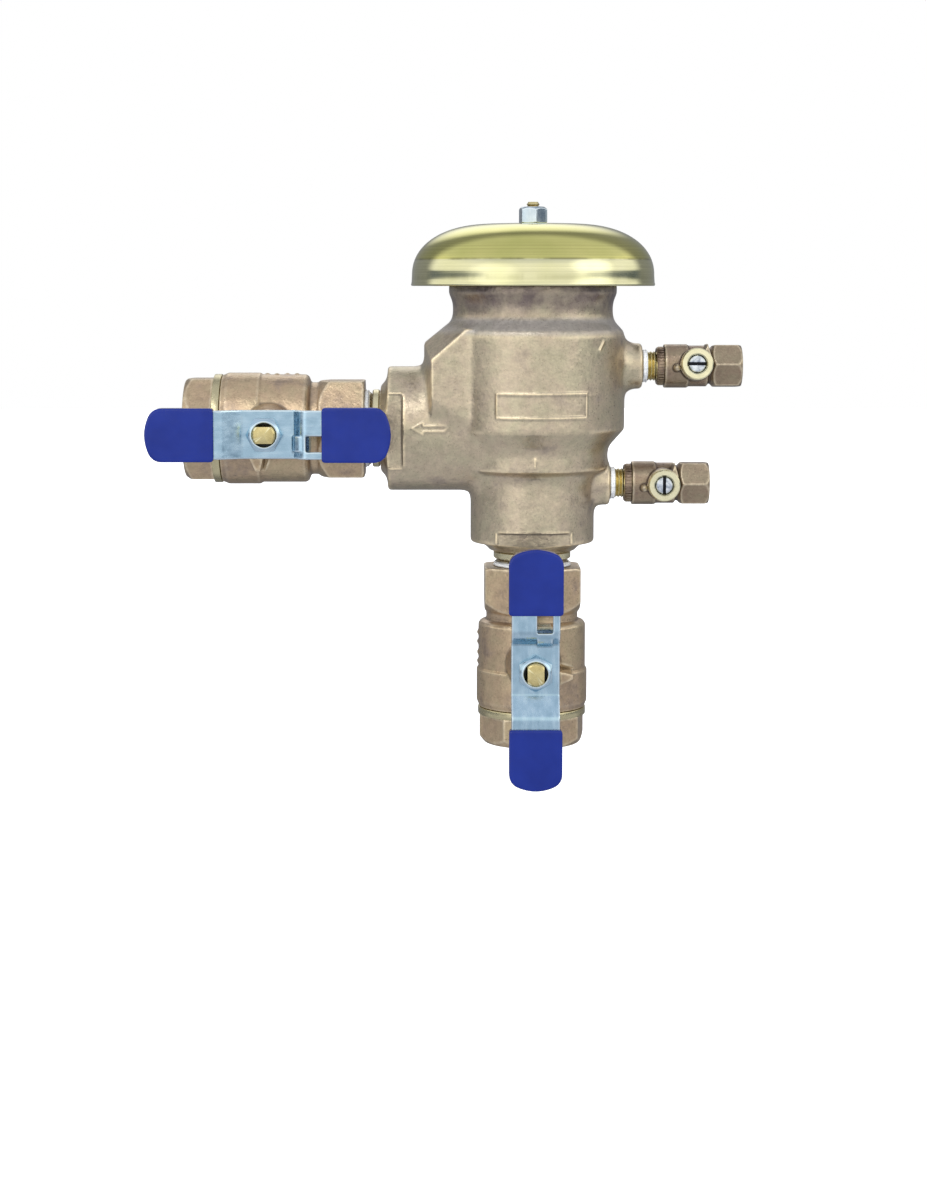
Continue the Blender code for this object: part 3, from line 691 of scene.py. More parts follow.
def zinc_plate(name, dull, middle, pale, hole=0):
    """Blue-white zinc plating, cloudy from the bath and the press, with painted shade in its hollows and
    round a stem's hole, and a painted highlight on its corners.
    """
    finish = Finish(name, middle, 1.0, 0.28)
    cloud = finish.noise(6, 4.0, 0.55)
    streaks = finish.noise(2.5, 3.0, stretch=(1, 1, 6))
    tone = finish.ramp(finish.mix(0.5, cloud, streaks), (0.34, dull), (0.5, middle), (0.66, pale))
    # Painted shade in the hollows.
    tone = finish.mix(finish.wear(-0.04, -0.25, 0.4), tone, tuple(0.5 * c for c in dull))
    # Painted highlight on the corners.
    tone = finish.mix(finish.wear(0.05, 0.3, 0.5), tone, (0.80, 0.88, 0.93))
    # Painted shade round the stem's hole, deep under the nut.
    if hole:
        tone = finish.mix(finish.around_stem(hole + 0.25, hole), tone, (0.02, 0.022, 0.024))
    finish.colour(tone)
    finish.roughness(streaks, 0.16, 0.34)
    finish.bump((cloud, 0.08), (streaks, 0.03))


def bright_steel(name, slot_floor=0.0):
    """Plated steel with turning marks, and with painted shade in a screwdriver slot if it has one."""
    finish = Finish(name, (0.60, 0.64, 0.70), 1.0, 0.2)
    marks = finish.noise(2.2, 3.0)
    tone = finish.ramp(marks, (0.35, (0.30, 0.34, 0.40)), (0.62, (0.74, 0.78, 0.82)))
    # Painted shade on the slot's floor.
    if slot_floor:
        tone = finish.mix(finish.height(-slot_floor - 0.5, -slot_floor, "Y"), tone, (0.015, 0.016, 0.02))
    finish.colour(tone)
    finish.roughness(marks, 0.12, 0.3)
    finish.bump((marks, 0.12))


def vinyl_grip():
    """Dipped vinyl: glossy royal blue with a slight orange peel."""
    finish = Finish("vinyl_grip", (0.008, 0.021, 0.21), 0.0, 0.1, **{"Specular IOR Level": 0.35})
    finish.cloud(finish.noise(16, 3.0), (0.002, 0.014, 0.165), (0.005, 0.021, 0.215))
    peel = finish.noise(5, 2.0)
    finish.roughness(peel, 0.07, 0.14)
    finish.bump((peel, 0.08), (finish.noise(0.8, 2.0), 0.006))


def thread_tape():
    """Wound sealing tape with its overlapping edges."""
    finish = Finish("thread_tape", (0.8, 0.82, 0.84), 0.0, 0.5, **{"Sheen Weight": 0.2})
    wraps = finish.noise(1.5, 3.0, stretch=(8, 8, 0.5))
    finish.colour(finish.ramp(wraps, (0.3, (0.55, 0.57, 0.6)), (0.6, (0.86, 0.88, 0.9))))
    finish.roughness(wraps, 0.4, 0.6)
    finish.bump((wraps, 0.12))


def black_rubber():
    finish = Finish("black_rubber", (0.02, 0.02, 0.02), 0.0, 0.6)
    bloom = finish.noise(4, 4.0)
    finish.cloud(bloom, (0.012, 0.012, 0.013), (0.035, 0.034, 0.033))
    finish.roughness(bloom, 0.5, 0.7)
    finish.bump((finish.noise(0.6, 2.0), 0.02))


def white_plastic():
    finish = Finish("white_plastic", (0.78, 0.78, 0.74), 0.0, 0.4, **{"Subsurface Weight": 0.1})
    cloud = finish.noise(9, 2.0)
    finish.cloud(cloud, (0.72, 0.72, 0.67), (0.82, 0.82, 0.79))
    finish.roughness(cloud, 0.34, 0.46)
    finish.bump((finish.noise(0.9, 2.0), 0.02))


def studio_floor():
    finish = Finish("studio_floor", (0.86, 0.86, 0.87), 0.0, 0.8, **{"Emission Strength": 0.8})
    finish.shader.inputs["Emission Color"].default_value = (1, 1, 1, 1)
    finish.cloud(finish.noise(400, 1.0), (0.85, 0.85, 0.86), (0.87, 0.87, 0.88))


# Showing pieces. A finish whose name isn't a slot of the record stands for one of these.

SLOTS = {
    **dict.fromkeys(("valve_bronze", "cock_bronze"), "cast_bronze"),
    **dict.fromkeys(("pipe_brass", "collar_brass", "pale_brass"), "machined_brass"),
    **dict.fromkeys(("handle_zinc", "nut_zinc"), "zinc_plate"),
    "slotted_steel": "bright_steel",
}


def show(name, solid, finish, node, matrix=STRAIGHT):
    """Names the solid, finishes it, and lets it stand for its CAD node on that node's body."""
    solid.name = name
    solid.data.name = name
    solid.data.materials.clear()
    solid.data.materials.append(finishes[finish])
    solid.data.shade_smooth()
    solid.data.set_sharp_from_angle(angle=radians(38))
    solid.matrix_world = matrix
    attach(solid, frame["nodes"][node]["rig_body"])
    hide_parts(node)
    SLOTS.get(finish, finish)
    return solid


def copy_of(solid):
    return add_to_scene(solid.copy())


def joint(name):
    return next(j for j in frame["joints"] if j["name"] == name)


def frame_on(joint_name, way):
    """A frame on a joint's axis, turned."""
    return Matrix.Translation(joint(joint_name)["pos_m"]) @ way


# The casting.


def casting_outside():
    """The chamber with its neck and its inlet boss, the outlet boss, the lobe and the cock bosses."""
    barrel = plug(
        [
            (35.2, 199.0), (36.0, 198.2), (36.0, 194.5), (34.3, 190.3), (34.3, 184.2), (34.9, 182.7),
            (38.7, 178.6), (CHAMBER_RADIUS, 176.2), (CHAMBER_RADIUS, 136.4), (33.2, 129.3),
            (32.4, 127.5), (32.4, 119.6), (27.6, 117.6), (BOSS_RADIUS, 116.4), (BOSS_RADIUS, 88.2),
            (26.0, 87.5), (21.7, 87.5), (18.2, INLET_FACE_Z),
        ],
        160,
    )
    rim = [(18.2, OUTLET_FACE), (21.7, 62.3), (26.0, 62.3), (BOSS_RADIUS, 61.6), (BOSS_RADIUS, 10.0)]
    outlet = moved(plug(rim, 128), LEFTWARD, shift(z=OUTLET_Z))
    return united(barrel, outlet, outlet_lobe(), *cock_bosses())


def outlet_lobe():
    """The shouldered swelling where the chamber turns into the outlet."""
    inner, front, side = -10.0, 28.6, 10.0
    face = [(-43.6, 150.5), (-43.6, 166.6), (-28.6, 179.6), (inner, 179.6), (inner, 141.0), (-28.0, 141.0)]
    middle = [(-46.6, 149.0), (-46.6, 173.2), (-34.0, 183.4), (inner, 183.4), (inner, 127.0), (-36.0, 127.0)]
    points = []
    for way in (-1, 1):
        points += [(x, way * front, z) for x, z in face]
        points += [(x, way * side, z) for x, z in middle]
        points += [(-44.0, way * 24.0, 131.0), (-28.0, way * 24.4, 128.0)]
    return hull(points)


def cock_bosses():
    face, height = LOWER_COCK
    lower = plug([(8.8, face), (9.6, face - 0.9), (9.6, 22.0)])
    yield moved(lower, ALONG_X, shift(z=height))
    face, height = UPPER_COCK
    upper = plug([(8.9, face), (9.8, face - 1.0), (9.8, face - 3.5), (12.5, 36.0)])
    yield moved(upper, ALONG_X, shift(z=height))


def wrench_flats():
    """The flats at the front and back of both pipe bosses."""
    reach = 32.0
    for way in (-1, 1):
        near, far = sorted((way * FLAT_DEPTH, way * reach))
        yield box((-reach, near, 80), (reach, far, 93.2))
        yield box((-70, near, OUTLET_Z - reach), (-55.5, far, OUTLET_Z + reach))


def flat_rims():
    """Low ridges along the round ends of the flats."""
    half = sqrt(BOSS_RADIUS**2 - FLAT_DEPTH**2)
    for way in (-1, 1):
        depth = way * (FLAT_DEPTH - 0.05)
        for side in (-half, half):
            yield bead([(x, depth, OUTLET_Z + side) for x in (-61.7, -56.0)], 0.42)
            yield bead([(side, depth, z) for z in (88.0, 92.6)], 0.42)


def cast_marks():
    """The raised flow arrow and the blank name frame on the front."""

    def on_boss(x, z):
        return (x, -sqrt(BOSS_RADIUS**2 - (z - OUTLET_Z) ** 2) - 0.1, z)

    def on_barrel(x, z):
        return (x, -sqrt(CHAMBER_RADIUS**2 - x**2) - 0.1, z)

    tip, barb, tail, height = -51.7, -47.0, -37.6, OUTLET_Z + 1.3
    arrow = [(tip, 0), (barb, 2.6), (barb, 1.15), (tail, 1.15), (tail + 0.6, 0)]
    arrow += [(x, -z) for x, z in arrow[-2:0:-1]]
    yield bead([on_boss(x, height + z) for x, z in arrow], 0.46, closed=True)
    left, right, bottom, top, steps = -16.2, 21.4, 142.8, 152.8, 12
    across = [left + (right - left) * i / steps for i in range(steps + 1)]
    panel = [on_barrel(x, top) for x in across] + [on_barrel(x, bottom) for x in reversed(across)]
    yield bead(panel, 0.5, closed=True)
    yield bead([on_barrel(26.9, 170.4), on_barrel(28.9, 174.6)], 0.5)
    yield bead([(0, -32.5, 121.6), (0, -32.5, 125.6)], 0.5)


def casting_inside():
    """The chamber and the ways that the casting is bored with."""
    yield plug(
        [
            (30.6, 201), (30.6, 181.5), (35.2, 176.5), (35.2, 138.6), (28.6, 130.5), (28.6, 119.8),
            (15.6, 119.8), (15.6, 121.0), (PIPE_BORE, 121.0), (PIPE_BORE, 116.8), (19.5, 114.0),
            (19.5, 103.5), (SOCKET_RADIUS, 101.5), (SOCKET_RADIUS, 80),
        ]
    )
    outlet_way = plug(
        [
            (SOCKET_RADIUS, 70), (SOCKET_RADIUS, 47.9), (PIPE_BORE, 47.9), (PIPE_BORE, 45.5),
            (20, 45.5), (20, 20),
        ]
    )
    yield moved(outlet_way, LEFTWARD, shift(z=OUTLET_Z))
    yield box((-42.2, -23.5, 137.0), (-15.0, 23.5, 165.0))
    for depth, (face, height) in ((8.9, LOWER_COCK), (9.5, UPPER_COCK)):
        yield moved(rod(COCK_THREAD + 0.6, face - depth, face + 1), ALONG_X, shift(z=height))
        yield moved(rod(3.0, face - depth - 6, face - depth + 1), ALONG_X, shift(z=height))


def casting():
    mass = filled_in(softened(casting_outside(), 0.5, 12), 96)
    cut(mass, *wrench_flats())
    united(mass, *flat_rims(), *cast_marks())
    softened(mass, 0.42, 3)
    return with_convexity(cut(mass, *casting_inside()))


# What sits on the casting.


def canopy():
    """The spun bell: a flat crown, a superelliptic shoulder, a short skirt and a turned lip."""
    crown, skirt_top, power, steps = 18.0, 202.0, 2.2, 36

    def shoulder(radius, top):
        for i in range(steps):
            angle = pi / 2 * (1 - i / (steps - 1))
            across = (radius - crown) * cos(angle) ** (2 / power)
            up = (top - skirt_top) * sin(angle) ** (2 / power)
            yield crown + across, skirt_top + up

    outer = list(shoulder(CANOPY_RADIUS - 0.4, CANOPY_TOP))
    inner = list(shoulder(CANOPY_RADIUS - 0.4 - CANOPY_SHEET, CANOPY_TOP - CANOPY_SHEET))
    hole = 3.6
    lip = arc((CANOPY_RADIUS - 0.6, CANOPY_BOTTOM + 0.6), 0.6, 30, -210, 8)
    profile = [(hole, CANOPY_TOP)] + outer + [(CANOPY_RADIUS - 0.25, CANOPY_BOTTOM + 1.8)] + lip
    profile += inner[::-1] + [(hole, CANOPY_TOP - CANOPY_SHEET)]
    return turned(profile, 224)


def canopy_nut():
    """A chamfered hexagon nut on a thin washer face."""
    flats, low, high, lean = 11.1, 224.3, 231.4, 9.4
    corners = corner_radius(6, flats) + 0.1
    lathe = plug([(4.7, high), (corners, high - 1.3), (corners, low + 0.4), (5.4, low)])
    blank = common(moved(prism(6, flats, low, high), turn(lean)), lathe)
    return with_convexity(softened(cut(blank, rod(3.45, low - 1, high + 1)), 0.16, 3), 3)


def canopy_stud():
    top, radius, low = 233.4, 2.75, 209.5
    profile = [(2.1, top)] + thread(radius, 0.45, STUD_PITCH, top - 0.4, CANOPY_TOP)
    return plug(profile + [(radius, low)], 64)


def nipple():
    """A close nipple about Z, centred, with its plain ring on the +Z side and threads below."""
    end = NIPPLE_LENGTH / 2
    ring_top = NIPPLE_SHOWING / 2 - 0.3
    ring_low = ring_top - 3.1
    profile = [(THREAD_RADIUS - 0.6, end), (THREAD_RADIUS, end - 1), (THREAD_RADIUS, ring_top)]
    profile += [(PIPE_RADIUS - 0.5, ring_top), (PIPE_RADIUS, ring_top - 0.5)]
    profile += [(PIPE_RADIUS, ring_low + 0.5), (PIPE_RADIUS - 0.5, ring_low)]
    profile += thread(THREAD_RADIUS, 0.9, PIPE_PITCH, ring_low - 0.1, 1 - end)
    profile += [(THREAD_RADIUS - 0.9, -end), (PIPE_BORE, -end), (PIPE_BORE, end)]
    return turned(profile, 128)


def nipple_tape():
    """The end of the wound tape that shows above the hexagon."""
    low, inner = 0.3 - NIPPLE_SHOWING / 2, 15.85
    steps = ((-0.7, 1.7), (-0.1, 1.3), (-0.5, 0.9), (0.1, 0.4), (0.0, 0.0))
    profile = [(PIPE_RADIUS + out_by, low + up) for out_by, up in steps]
    return rumpled(turned(profile + [(inner, low), (inner, low + 1.7)], 128), 0.12, 5)


# A ball valve, about Z from its outer end to its hexagon, with its stem on -Y at the origin.


def at(distance_from_outer_end):
    return distance_from_outer_end - VALVE_STEM


def valve_shell():
    """The turned body, the hexagon at its inner end and the bumps round its back."""
    shell = plug(
        [
            (19.8, 57), (19.8, 54), (22.4, 53.0), (23.2, 51.8), (23.2, 33.0), (23.95, 32.2),
            (23.95, 18.5), (23.5, 17.4), (23.1, 16.6), (23.1, 15.8),
        ],
        160,
        origin=VALVE_STEM,
    )
    lathe = plug([(22.6, 77), (24.5, 76), (24.5, 63), (19.8, 57)], origin=VALVE_STEM)
    hexagon = common(prism(6, 41.2, at(56), at(77)), lathe)
    offsets = (1.5, -1.2, 1.0, -0.5)
    bumps = [ball(1.3, (-22.6, offset, at(35 + 4.3 * i))) for i, offset in enumerate(offsets)]
    return shell, hexagon, bumps


def valve_body():
    shell, hexagon, bumps = valve_shell()
    gland = plug([(9.6, 33.5), (10.4, 28.0), (11.7, 21.0), (11.7, 12.0)])
    lug = [(10.5, -1.7), (10.5, -7.8), (16.4, -2.9), (16.4, -5.0)]
    stops = [
        hull([(x, z, y) for x, z in lug for y in (14.0, 30.9)]),
        box((-6.0, at(50), 15), (0.1, at(54), 31)),
    ]
    parts = [moved(solid, FORWARD) for solid in [gland] + stops]
    mass = softened(united(shell, hexagon, *parts, *bumps), 0.38, 5)
    groove = [(10.2, 0.5), (10.2, -1.6), (17.2, -2.2), (17.2, -2.8)]
    relief = hull([(x, z, y) for x, z in groove for y in (15.5, 26)])
    flow_way = plug(
        [
            (SOCKET_RADIUS, 78), (SOCKET_RADIUS, 60.5), (12.7, 60.5), (12.7, 52.3), (17.1, 52.3),
            (17.1, 47.9), (18.3, 47.9), (18.3, 24), (19.9, 24), (19.9, 12),
        ],
        origin=VALVE_STEM,
    )
    stem_way = plug([(7.4, 36.0), (7.4, 26.5), (5.1, 26.5), (5.1, 22.0), (7.3, 22.0), (7.3, 10.0)])
    return with_convexity(cut(mass, moved(relief, FORWARD), flow_way, moved(stem_way, FORWARD)))


def valve_retainer():
    """The octagonal end piece that screws into the valve body."""
    lathe = plug([(25, 12.6), (25, 5.4), (20.6, 0)], origin=VALVE_STEM)
    octagon = common(prism(8, 43.0, at(0), at(12.6)), lathe)
    screwed = rod(19.5, at(13), at(21.7), 96)
    mass = softened(united(octagon, screwed), 0.36, 3)
    mouth = SOCKET_RADIUS + 0.9
    profile = [(12.7, 30), (12.7, 16.5), (SOCKET_RADIUS - 0.8, 16.5), (SOCKET_RADIUS, 1.0), (mouth, -0.2)]
    return with_convexity(cut(mass, plug(profile + [(mouth, -1)], origin=VALVE_STEM)))


def valve_collar():
    """The turned collar of the end piece, against the valve body."""
    return bevelled(ring(23.35, 19.3, at(12.5), at(15.7), 160), 0.35)


def valve_stem():
    """The stem, with a tang in the ball's slot and two flats up to its tip."""
    shaft = plug([(4.1, 50.5), (STEM_RADIUS, 49.9), (STEM_RADIUS, 20.4), (7.0, 20.4), (7.0, 18.0)])
    tang = box((-5.5, -2.3, 14.4), (5.5, 2.3, 19.0))
    half, reach, low, high = STEM_FLATS / 2, 9, HANDLE_HEIGHT - 0.5, 52
    flats = [box((half, -reach, low), (reach, reach, high)), box((-reach, -reach, low), (-half, reach, high))]
    return bevelled(moved(cut(united(shaft, tang), *flats), FORWARD), 0.25)


def packing_nut():
    body = united(prism(6, 17.5, 33.8, 40.5), rod(7.1, 30.6, 35.0))
    return bevelled(moved(cut(body, rod(5.1, 30, 42)), FORWARD), 0.3)


def handle():
    """The pressed tee handle: a low middle, two raised wings, a window and a curled stop tab."""
    low, high = HANDLE_HEIGHT, HANDLE_HEIGHT + WING_RISE
    near, far = HANDLE_ENDS
    line = [(near, high), (-18.7, high), (-9.9, low), (13.2, low), (16.9, high), (far, high)]
    sheet = bent_strip(filleted(line, 2.6), HANDLE_SHEET, HANDLE_WIDTH)
    plan = united(
        moved(tongue(HANDLE_WIDTH - 0.01, 1, far, 5.0, 20), shift(z=high)),
        moved(tongue(HANDLE_WIDTH - 0.01, 2, near, 5.0, 20), shift(z=high)),
    )
    window = box((0.5, 17.2, 40), (7.0, 26.0, 60))
    curl = [(12.9, 43.0), (14.0, 45.6), (15.6, 46.7), (17.1, 45.9), (17.3, 43.0), (16.6, 38.0), (16.4, 28.0)]
    tab = moved(bent_strip(filleted(curl, 1.2), 1.9, 6.4), shift(x=3.75))
    stem_hole = common(
        rod(STEM_RADIUS + 0.25, 40, 46),
        box((-STEM_FLATS / 2 - 0.2, -9, 39), (STEM_FLATS / 2 + 0.2, 9, 47)),
    )
    blank = cut(common(sheet, plan), window, stem_hole)
    return with_convexity(moved(softened(united(blank, tab), 0.3, 4), FORWARD), 4)


def handle_nut():
    """A thin hexagon nut, well chamfered, screwed on the stem's rounded sides."""
    flats, low, high = 13.6, 44.5, 48.2
    corners = corner_radius(6, flats) + 0.1
    lathe = plug([(5.7, high), (6.5, high - 0.5), (corners, high - 2.2), (corners, low)])
    hole = plug([(5.4, high + 1), (4.95, high - 0.5), (4.95, low - 1)])
    blank = cut(common(prism(6, flats, low, high), lathe), hole)
    return with_convexity(moved(softened(blank, 0.2, 4), FORWARD), 3)


def grip(root, tip, width):
    """A dipped vinyl grip round one wing, open at its root, with soft round edges."""
    middle = HANDLE_HEIGHT + WING_RISE + HANDLE_SHEET / 2
    way = 1 if tip > root else -1
    wing_end = HANDLE_ENDS[1] if way > 0 else HANDLE_ENDS[0]
    body = tongue(width, root, tip, 5.8, HANDLE_SHEET + 3.2, bulge=1.2)
    softened(bevelled(body, 2.2, 5, 60), 0.4, 5)
    pocket = tongue(HANDLE_WIDTH + 0.3, root - way, wing_end + way * 0.3, 5.0, HANDLE_SHEET + 0.6)
    return moved(cut(body, pocket), shift(z=middle), FORWARD)


# A test cock, about X from the casting outwards, with its stem on -Y at the origin.


def out(distance_from_boss):
    return distance_from_boss - COCK_STEM


def cock_tailpiece():
    """The threaded end that screws into the casting and closes the cock's ball chamber."""
    profile = [(6.0, out(15.1)), (6.0, out(9.1)), (6.9, out(9.1))]
    profile += thread(COCK_THREAD + 0.35, 0.55, COCK_PITCH, out(5.9), out(-7.7))
    profile += [(COCK_THREAD - 0.7, out(-8.5)), (2.6, out(-8.5)), (2.6, out(15.1))]
    return moved(turned(profile, 96), ALONG_X)


def cock_shoulder():
    """The knurled bronze shoulder of the threaded end, against the cock's body."""
    grooves = 36
    profile = [(8.3, out(9.1)), (8.3, out(7.0)), (7.7, out(6.1)), (6.95, out(6.1)), (6.95, out(9.1))]
    knurl = []
    for i in range(grooves):
        groove = box((-0.35, 7.6, out(6.3)), (0.35, 9.0, out(9.0)))
        knurl.append(moved(groove, turn(360 * i / grooves)))
    return moved(bevelled(cut(turned(profile, 3 * grooves), *knurl), 0.1), ALONG_X)


def cock_body():
    flats = 17.5
    corners = corner_radius(6, flats) + 0.1
    shell = plug(
        [
            (7.6, 31), (7.6, 29.9), (8.1, 29.5), (7.6, 29.0), (7.6, 28.4), (8.8, 27.6), (8.8, 19.8),
            (9.35, 19.2), (9.35, 9.4),
        ],
        origin=COCK_STEM,
    )
    lathe = plug([(8.6, 42.6), (corners, 40.6), (corners, 31.0), (8.3, 29.8)], origin=COCK_STEM)
    hexagon = common(prism(6, flats, out(29.8), out(42.6)), lathe)
    along = [moved(solid, ALONG_X) for solid in (shell, hexagon)]
    boss = rod(6.9, 4, 12)
    knob = united(rod(1.6, 5, 11.4), ball(1.6, (0, 0, 11.4)))
    moved(knob, shift(x=-8.2, y=-1.4))
    low = [(3.0, 4.5, 6), (6.6, 2.6, 6), (5.2, 9.3, 5), (3.9, 8.9, 5)]
    lug = hull(low + [(3.4, 4.8, 12), (6.4, 3.4, 12), (4.9, 8.7, 11)])
    front = [moved(solid, FORWARD) for solid in (boss, knob, lug)]
    mass = softened(united(*along, *front), 0.26, 4)
    flow_way = plug(
        [
            (COCK_THREAD + 1.0, 44), (COCK_THREAD, 42.0), (COCK_THREAD, 32), (2.8, 32), (2.8, 29.7),
            (6.3, 29.7), (6.3, 8),
        ],
        origin=COCK_STEM,
    )
    stem_way = plug([(4.0, 14), (4.0, 7.4), (4.9, 7.4), (4.9, 1)])
    return with_convexity(cut(mass, moved(flow_way, ALONG_X), moved(stem_way, FORWARD)))


def cock_stem():
    """The stem with its screwdriver slot along the ball's port."""
    shaft = plug(
        [
            (3.3, 15.4), (3.7, 15.0), (3.7, 10.25), (2.7, 10.25), (2.7, 8.75), (3.7, 8.75), (3.7, 7.1),
            (4.6, 7.1), (4.6, 6.1),
        ]
    )
    tang = box((-0.7, -2.4, 4.6), (0.7, 2.4, 6.6))
    slot = box((-5, -0.68, SLOT_FLOOR), (5, 0.68, 17))
    return bevelled(moved(cut(united(shaft, tang), slot), FORWARD), 0.1)


def gland_ring():
    profile = [(6.3, 15.8), (6.75, 15.3), (6.75, 12.3), (4.0, 12.3), (4.0, 15.2), (4.5, 15.8)]
    return moved(turned(profile), FORWARD)


def cock_tape():
    profile = [(6.75, 2.1), (7.05, 1.6), (6.8, 1.2), (7.1, 0.7), (7.0, 0.3), (6.45, 0.3), (6.45, 2.1)]
    tape = turned([(radius, out(distance)) for radius, distance in profile])
    return moved(rumpled(tape, 0.1, 4), ALONG_X)


# The assembly.


def show_casting():
    show("cast_body", casting(), "cast_bronze", "main_body")
    show("spun_canopy", canopy(), "spun_brass", "canopy")
    show("canopy_hex_nut", canopy_nut(), "nut_zinc", "canopy_nut")
    show("canopy_threaded_stud", canopy_stud(), "machined_brass", "canopy_stud")
    showing = NIPPLE_SHOWING / 2
    places = {
        "inlet": shift(z=INLET_FACE_Z - showing),
        "outlet": shift(x=-OUTLET_FACE - showing, z=OUTLET_Z) @ ALONG_X,
    }
    for side, matrix in places.items():
        show(f"{side}_pipe", nipple(), "pipe_brass", f"{side}_nipple", matrix)
        show(f"{side}_tape", nipple_tape(), "thread_tape", f"{side}_nipple_tape", matrix)


def show_set(solids, frames):
    """Shows copies of the solids in each frame. A frame is (node prefix, matrix, own turns)."""
    for prefix, matrix, turns in frames:
        for node, (solid, finish) in solids.items():
            place = matrix @ turns.get(node, STRAIGHT)
            show(f"{prefix}_{node}_piece", copy_of(solid), finish, f"{prefix}_{node}", place)
    for solid, _ in solids.values():
        bpy.data.objects.remove(solid)


def show_ball_valves():
    solids = {
        "body": (valve_body(), "valve_bronze"),
        "retainer": (valve_retainer(), "valve_bronze"),
        "stem": (valve_stem(), "machined_brass"),
        "packing_nut": (packing_nut(), "machined_brass"),
        "handle": (handle(), "handle_zinc"),
        "handle_nut": (handle_nut(), "zinc_plate"),
    }
    frames = []
    for side, way, screwed_round in (("inlet", STRAIGHT, 12.1), ("outlet", ALONG_X, 22.5)):
        matrix = frame_on(f"{side}_handle_turn", way)
        frames.append((f"{side}_valve", matrix, {"retainer": turn(screwed_round)}))
    show_set(solids, frames)
    for prefix, matrix, _ in frames:
        for end, edges in GRIPS[prefix].items():
            node = f"{prefix}_grip_{end}"
            show(f"{node}_piece", grip(*edges), "vinyl_grip", node, matrix)
        show(f"{prefix}_collar_piece", valve_collar(), "collar_brass", f"{prefix}_retainer", matrix)


def show_test_cocks():
    solids = {
        "tailpiece": (cock_tailpiece(), "machined_brass"),
        "body": (cock_body(), "cock_bronze"),
        "stem": (cock_stem(), "slotted_steel"),
        "gland_ring": (gland_ring(), "pale_brass"),
        "tape": (cock_tape(), "thread_tape"),
    }
    frames = []
    for level, turns in (("lower", {"stem": turn(90, "Y")}), ("upper", {})):
        axis = joint(f"{level}_cock_turn")["axis"]
        roll = turn(degrees(atan2(axis[2], axis[1])), "X")
        frames.append((f"{level}_test_cock", frame_on(f"{level}_cock_turn", roll), turns))
    show_set(solids, frames)
    for prefix, matrix, _ in frames:
        show(f"{prefix}_shoulder_piece", cock_shoulder(), "cock_bronze", f"{prefix}_tailpiece", matrix)


def finish_cad_nodes():
    """The inner pieces keep their CAD shapes and get the finished materials of their slots."""
    slots = {part["node"]: part["material_slot"] for part in frame["record"]["subparts"]}
    for name, node in frame["nodes"].items():
        if not node.hide_render:
            node.data.materials.clear()
            node.data.materials.append(finishes[slots[name]])
            node.data.polygons.foreach_set("material_index", [0] * len(node.data.polygons))


def check_spring():
    """The check's compression spring, a helix of round wire between its seats."""
    turns, steps, low, high, radius, wire = 6, 28, 128.35, 149.6, 9.4, 0.55
    points = []
    for i in range(turns * steps + 1):
        share = i / (turns * steps)
        angle = 2 * pi * turns * share
        points.append((radius * cos(angle), radius * sin(angle), low + (high - low) * share))
    return bead(points, wire)


def show_check_spring():
    """Shows the check's spring with a mesh of its own."""
    spring = show("check_coil", check_spring(), "bright_steel", "check_spring")
    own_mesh(spring)


# The studio, in metres.

PART_MIDDLE = Vector((-0.03, 0.0, 0.13))


def softbox(name, place, size, radiance, glossy=True):
    """A rectangular soft light that faces the part and doesn't show itself to the camera."""
    light = bpy.data.lights.new(name, "AREA")
    light.shape = "RECTANGLE"
    light.size, light.size_y = size
    light.energy = radiance * pi * size[0] * size[1]
    lamp = bpy.data.objects.new(name, light)
    lamp.location = place
    lamp.rotation_euler = (PART_MIDDLE - Vector(place)).to_track_quat("-Z", "Y").to_euler()
    lamp.visible_camera = False
    lamp.visible_glossy = glossy
    return add_to_scene(lamp)


def studio():
    """A soft front light, and a strip whose gleam runs along the castings."""
    softbox("front_fill", (-0.35, -2.2, 0.75), (1.4, 1.4), 4.4, glossy=False)
    castings = bpy.data.collections.new("castings")
    for piece in bpy.context.scene.objects:
        if piece.type == "MESH" and not any(word in piece.name for word in ("canopy", "handle", "grip")):
            castings.objects.link(piece)
    strip = softbox("edge_strip", (-0.6, -1.1, 1.45), (1.6, 0.35), 3)
    strip.light_linking.receiver_collection = castings


def pale_floor():
    """A plain pale floor a little below the part."""
    bpy.ops.mesh.primitive_circle_add(vertices=96, radius=9, fill_type="NGON", location=(0, 0, -0.32))
    floor = bpy.context.object
    floor.name = "floor"
    studio_floor()
    floor.data.materials.append(finishes["studio_floor"])
    floor.visible_glossy = False
    floor.visible_diffuse = False


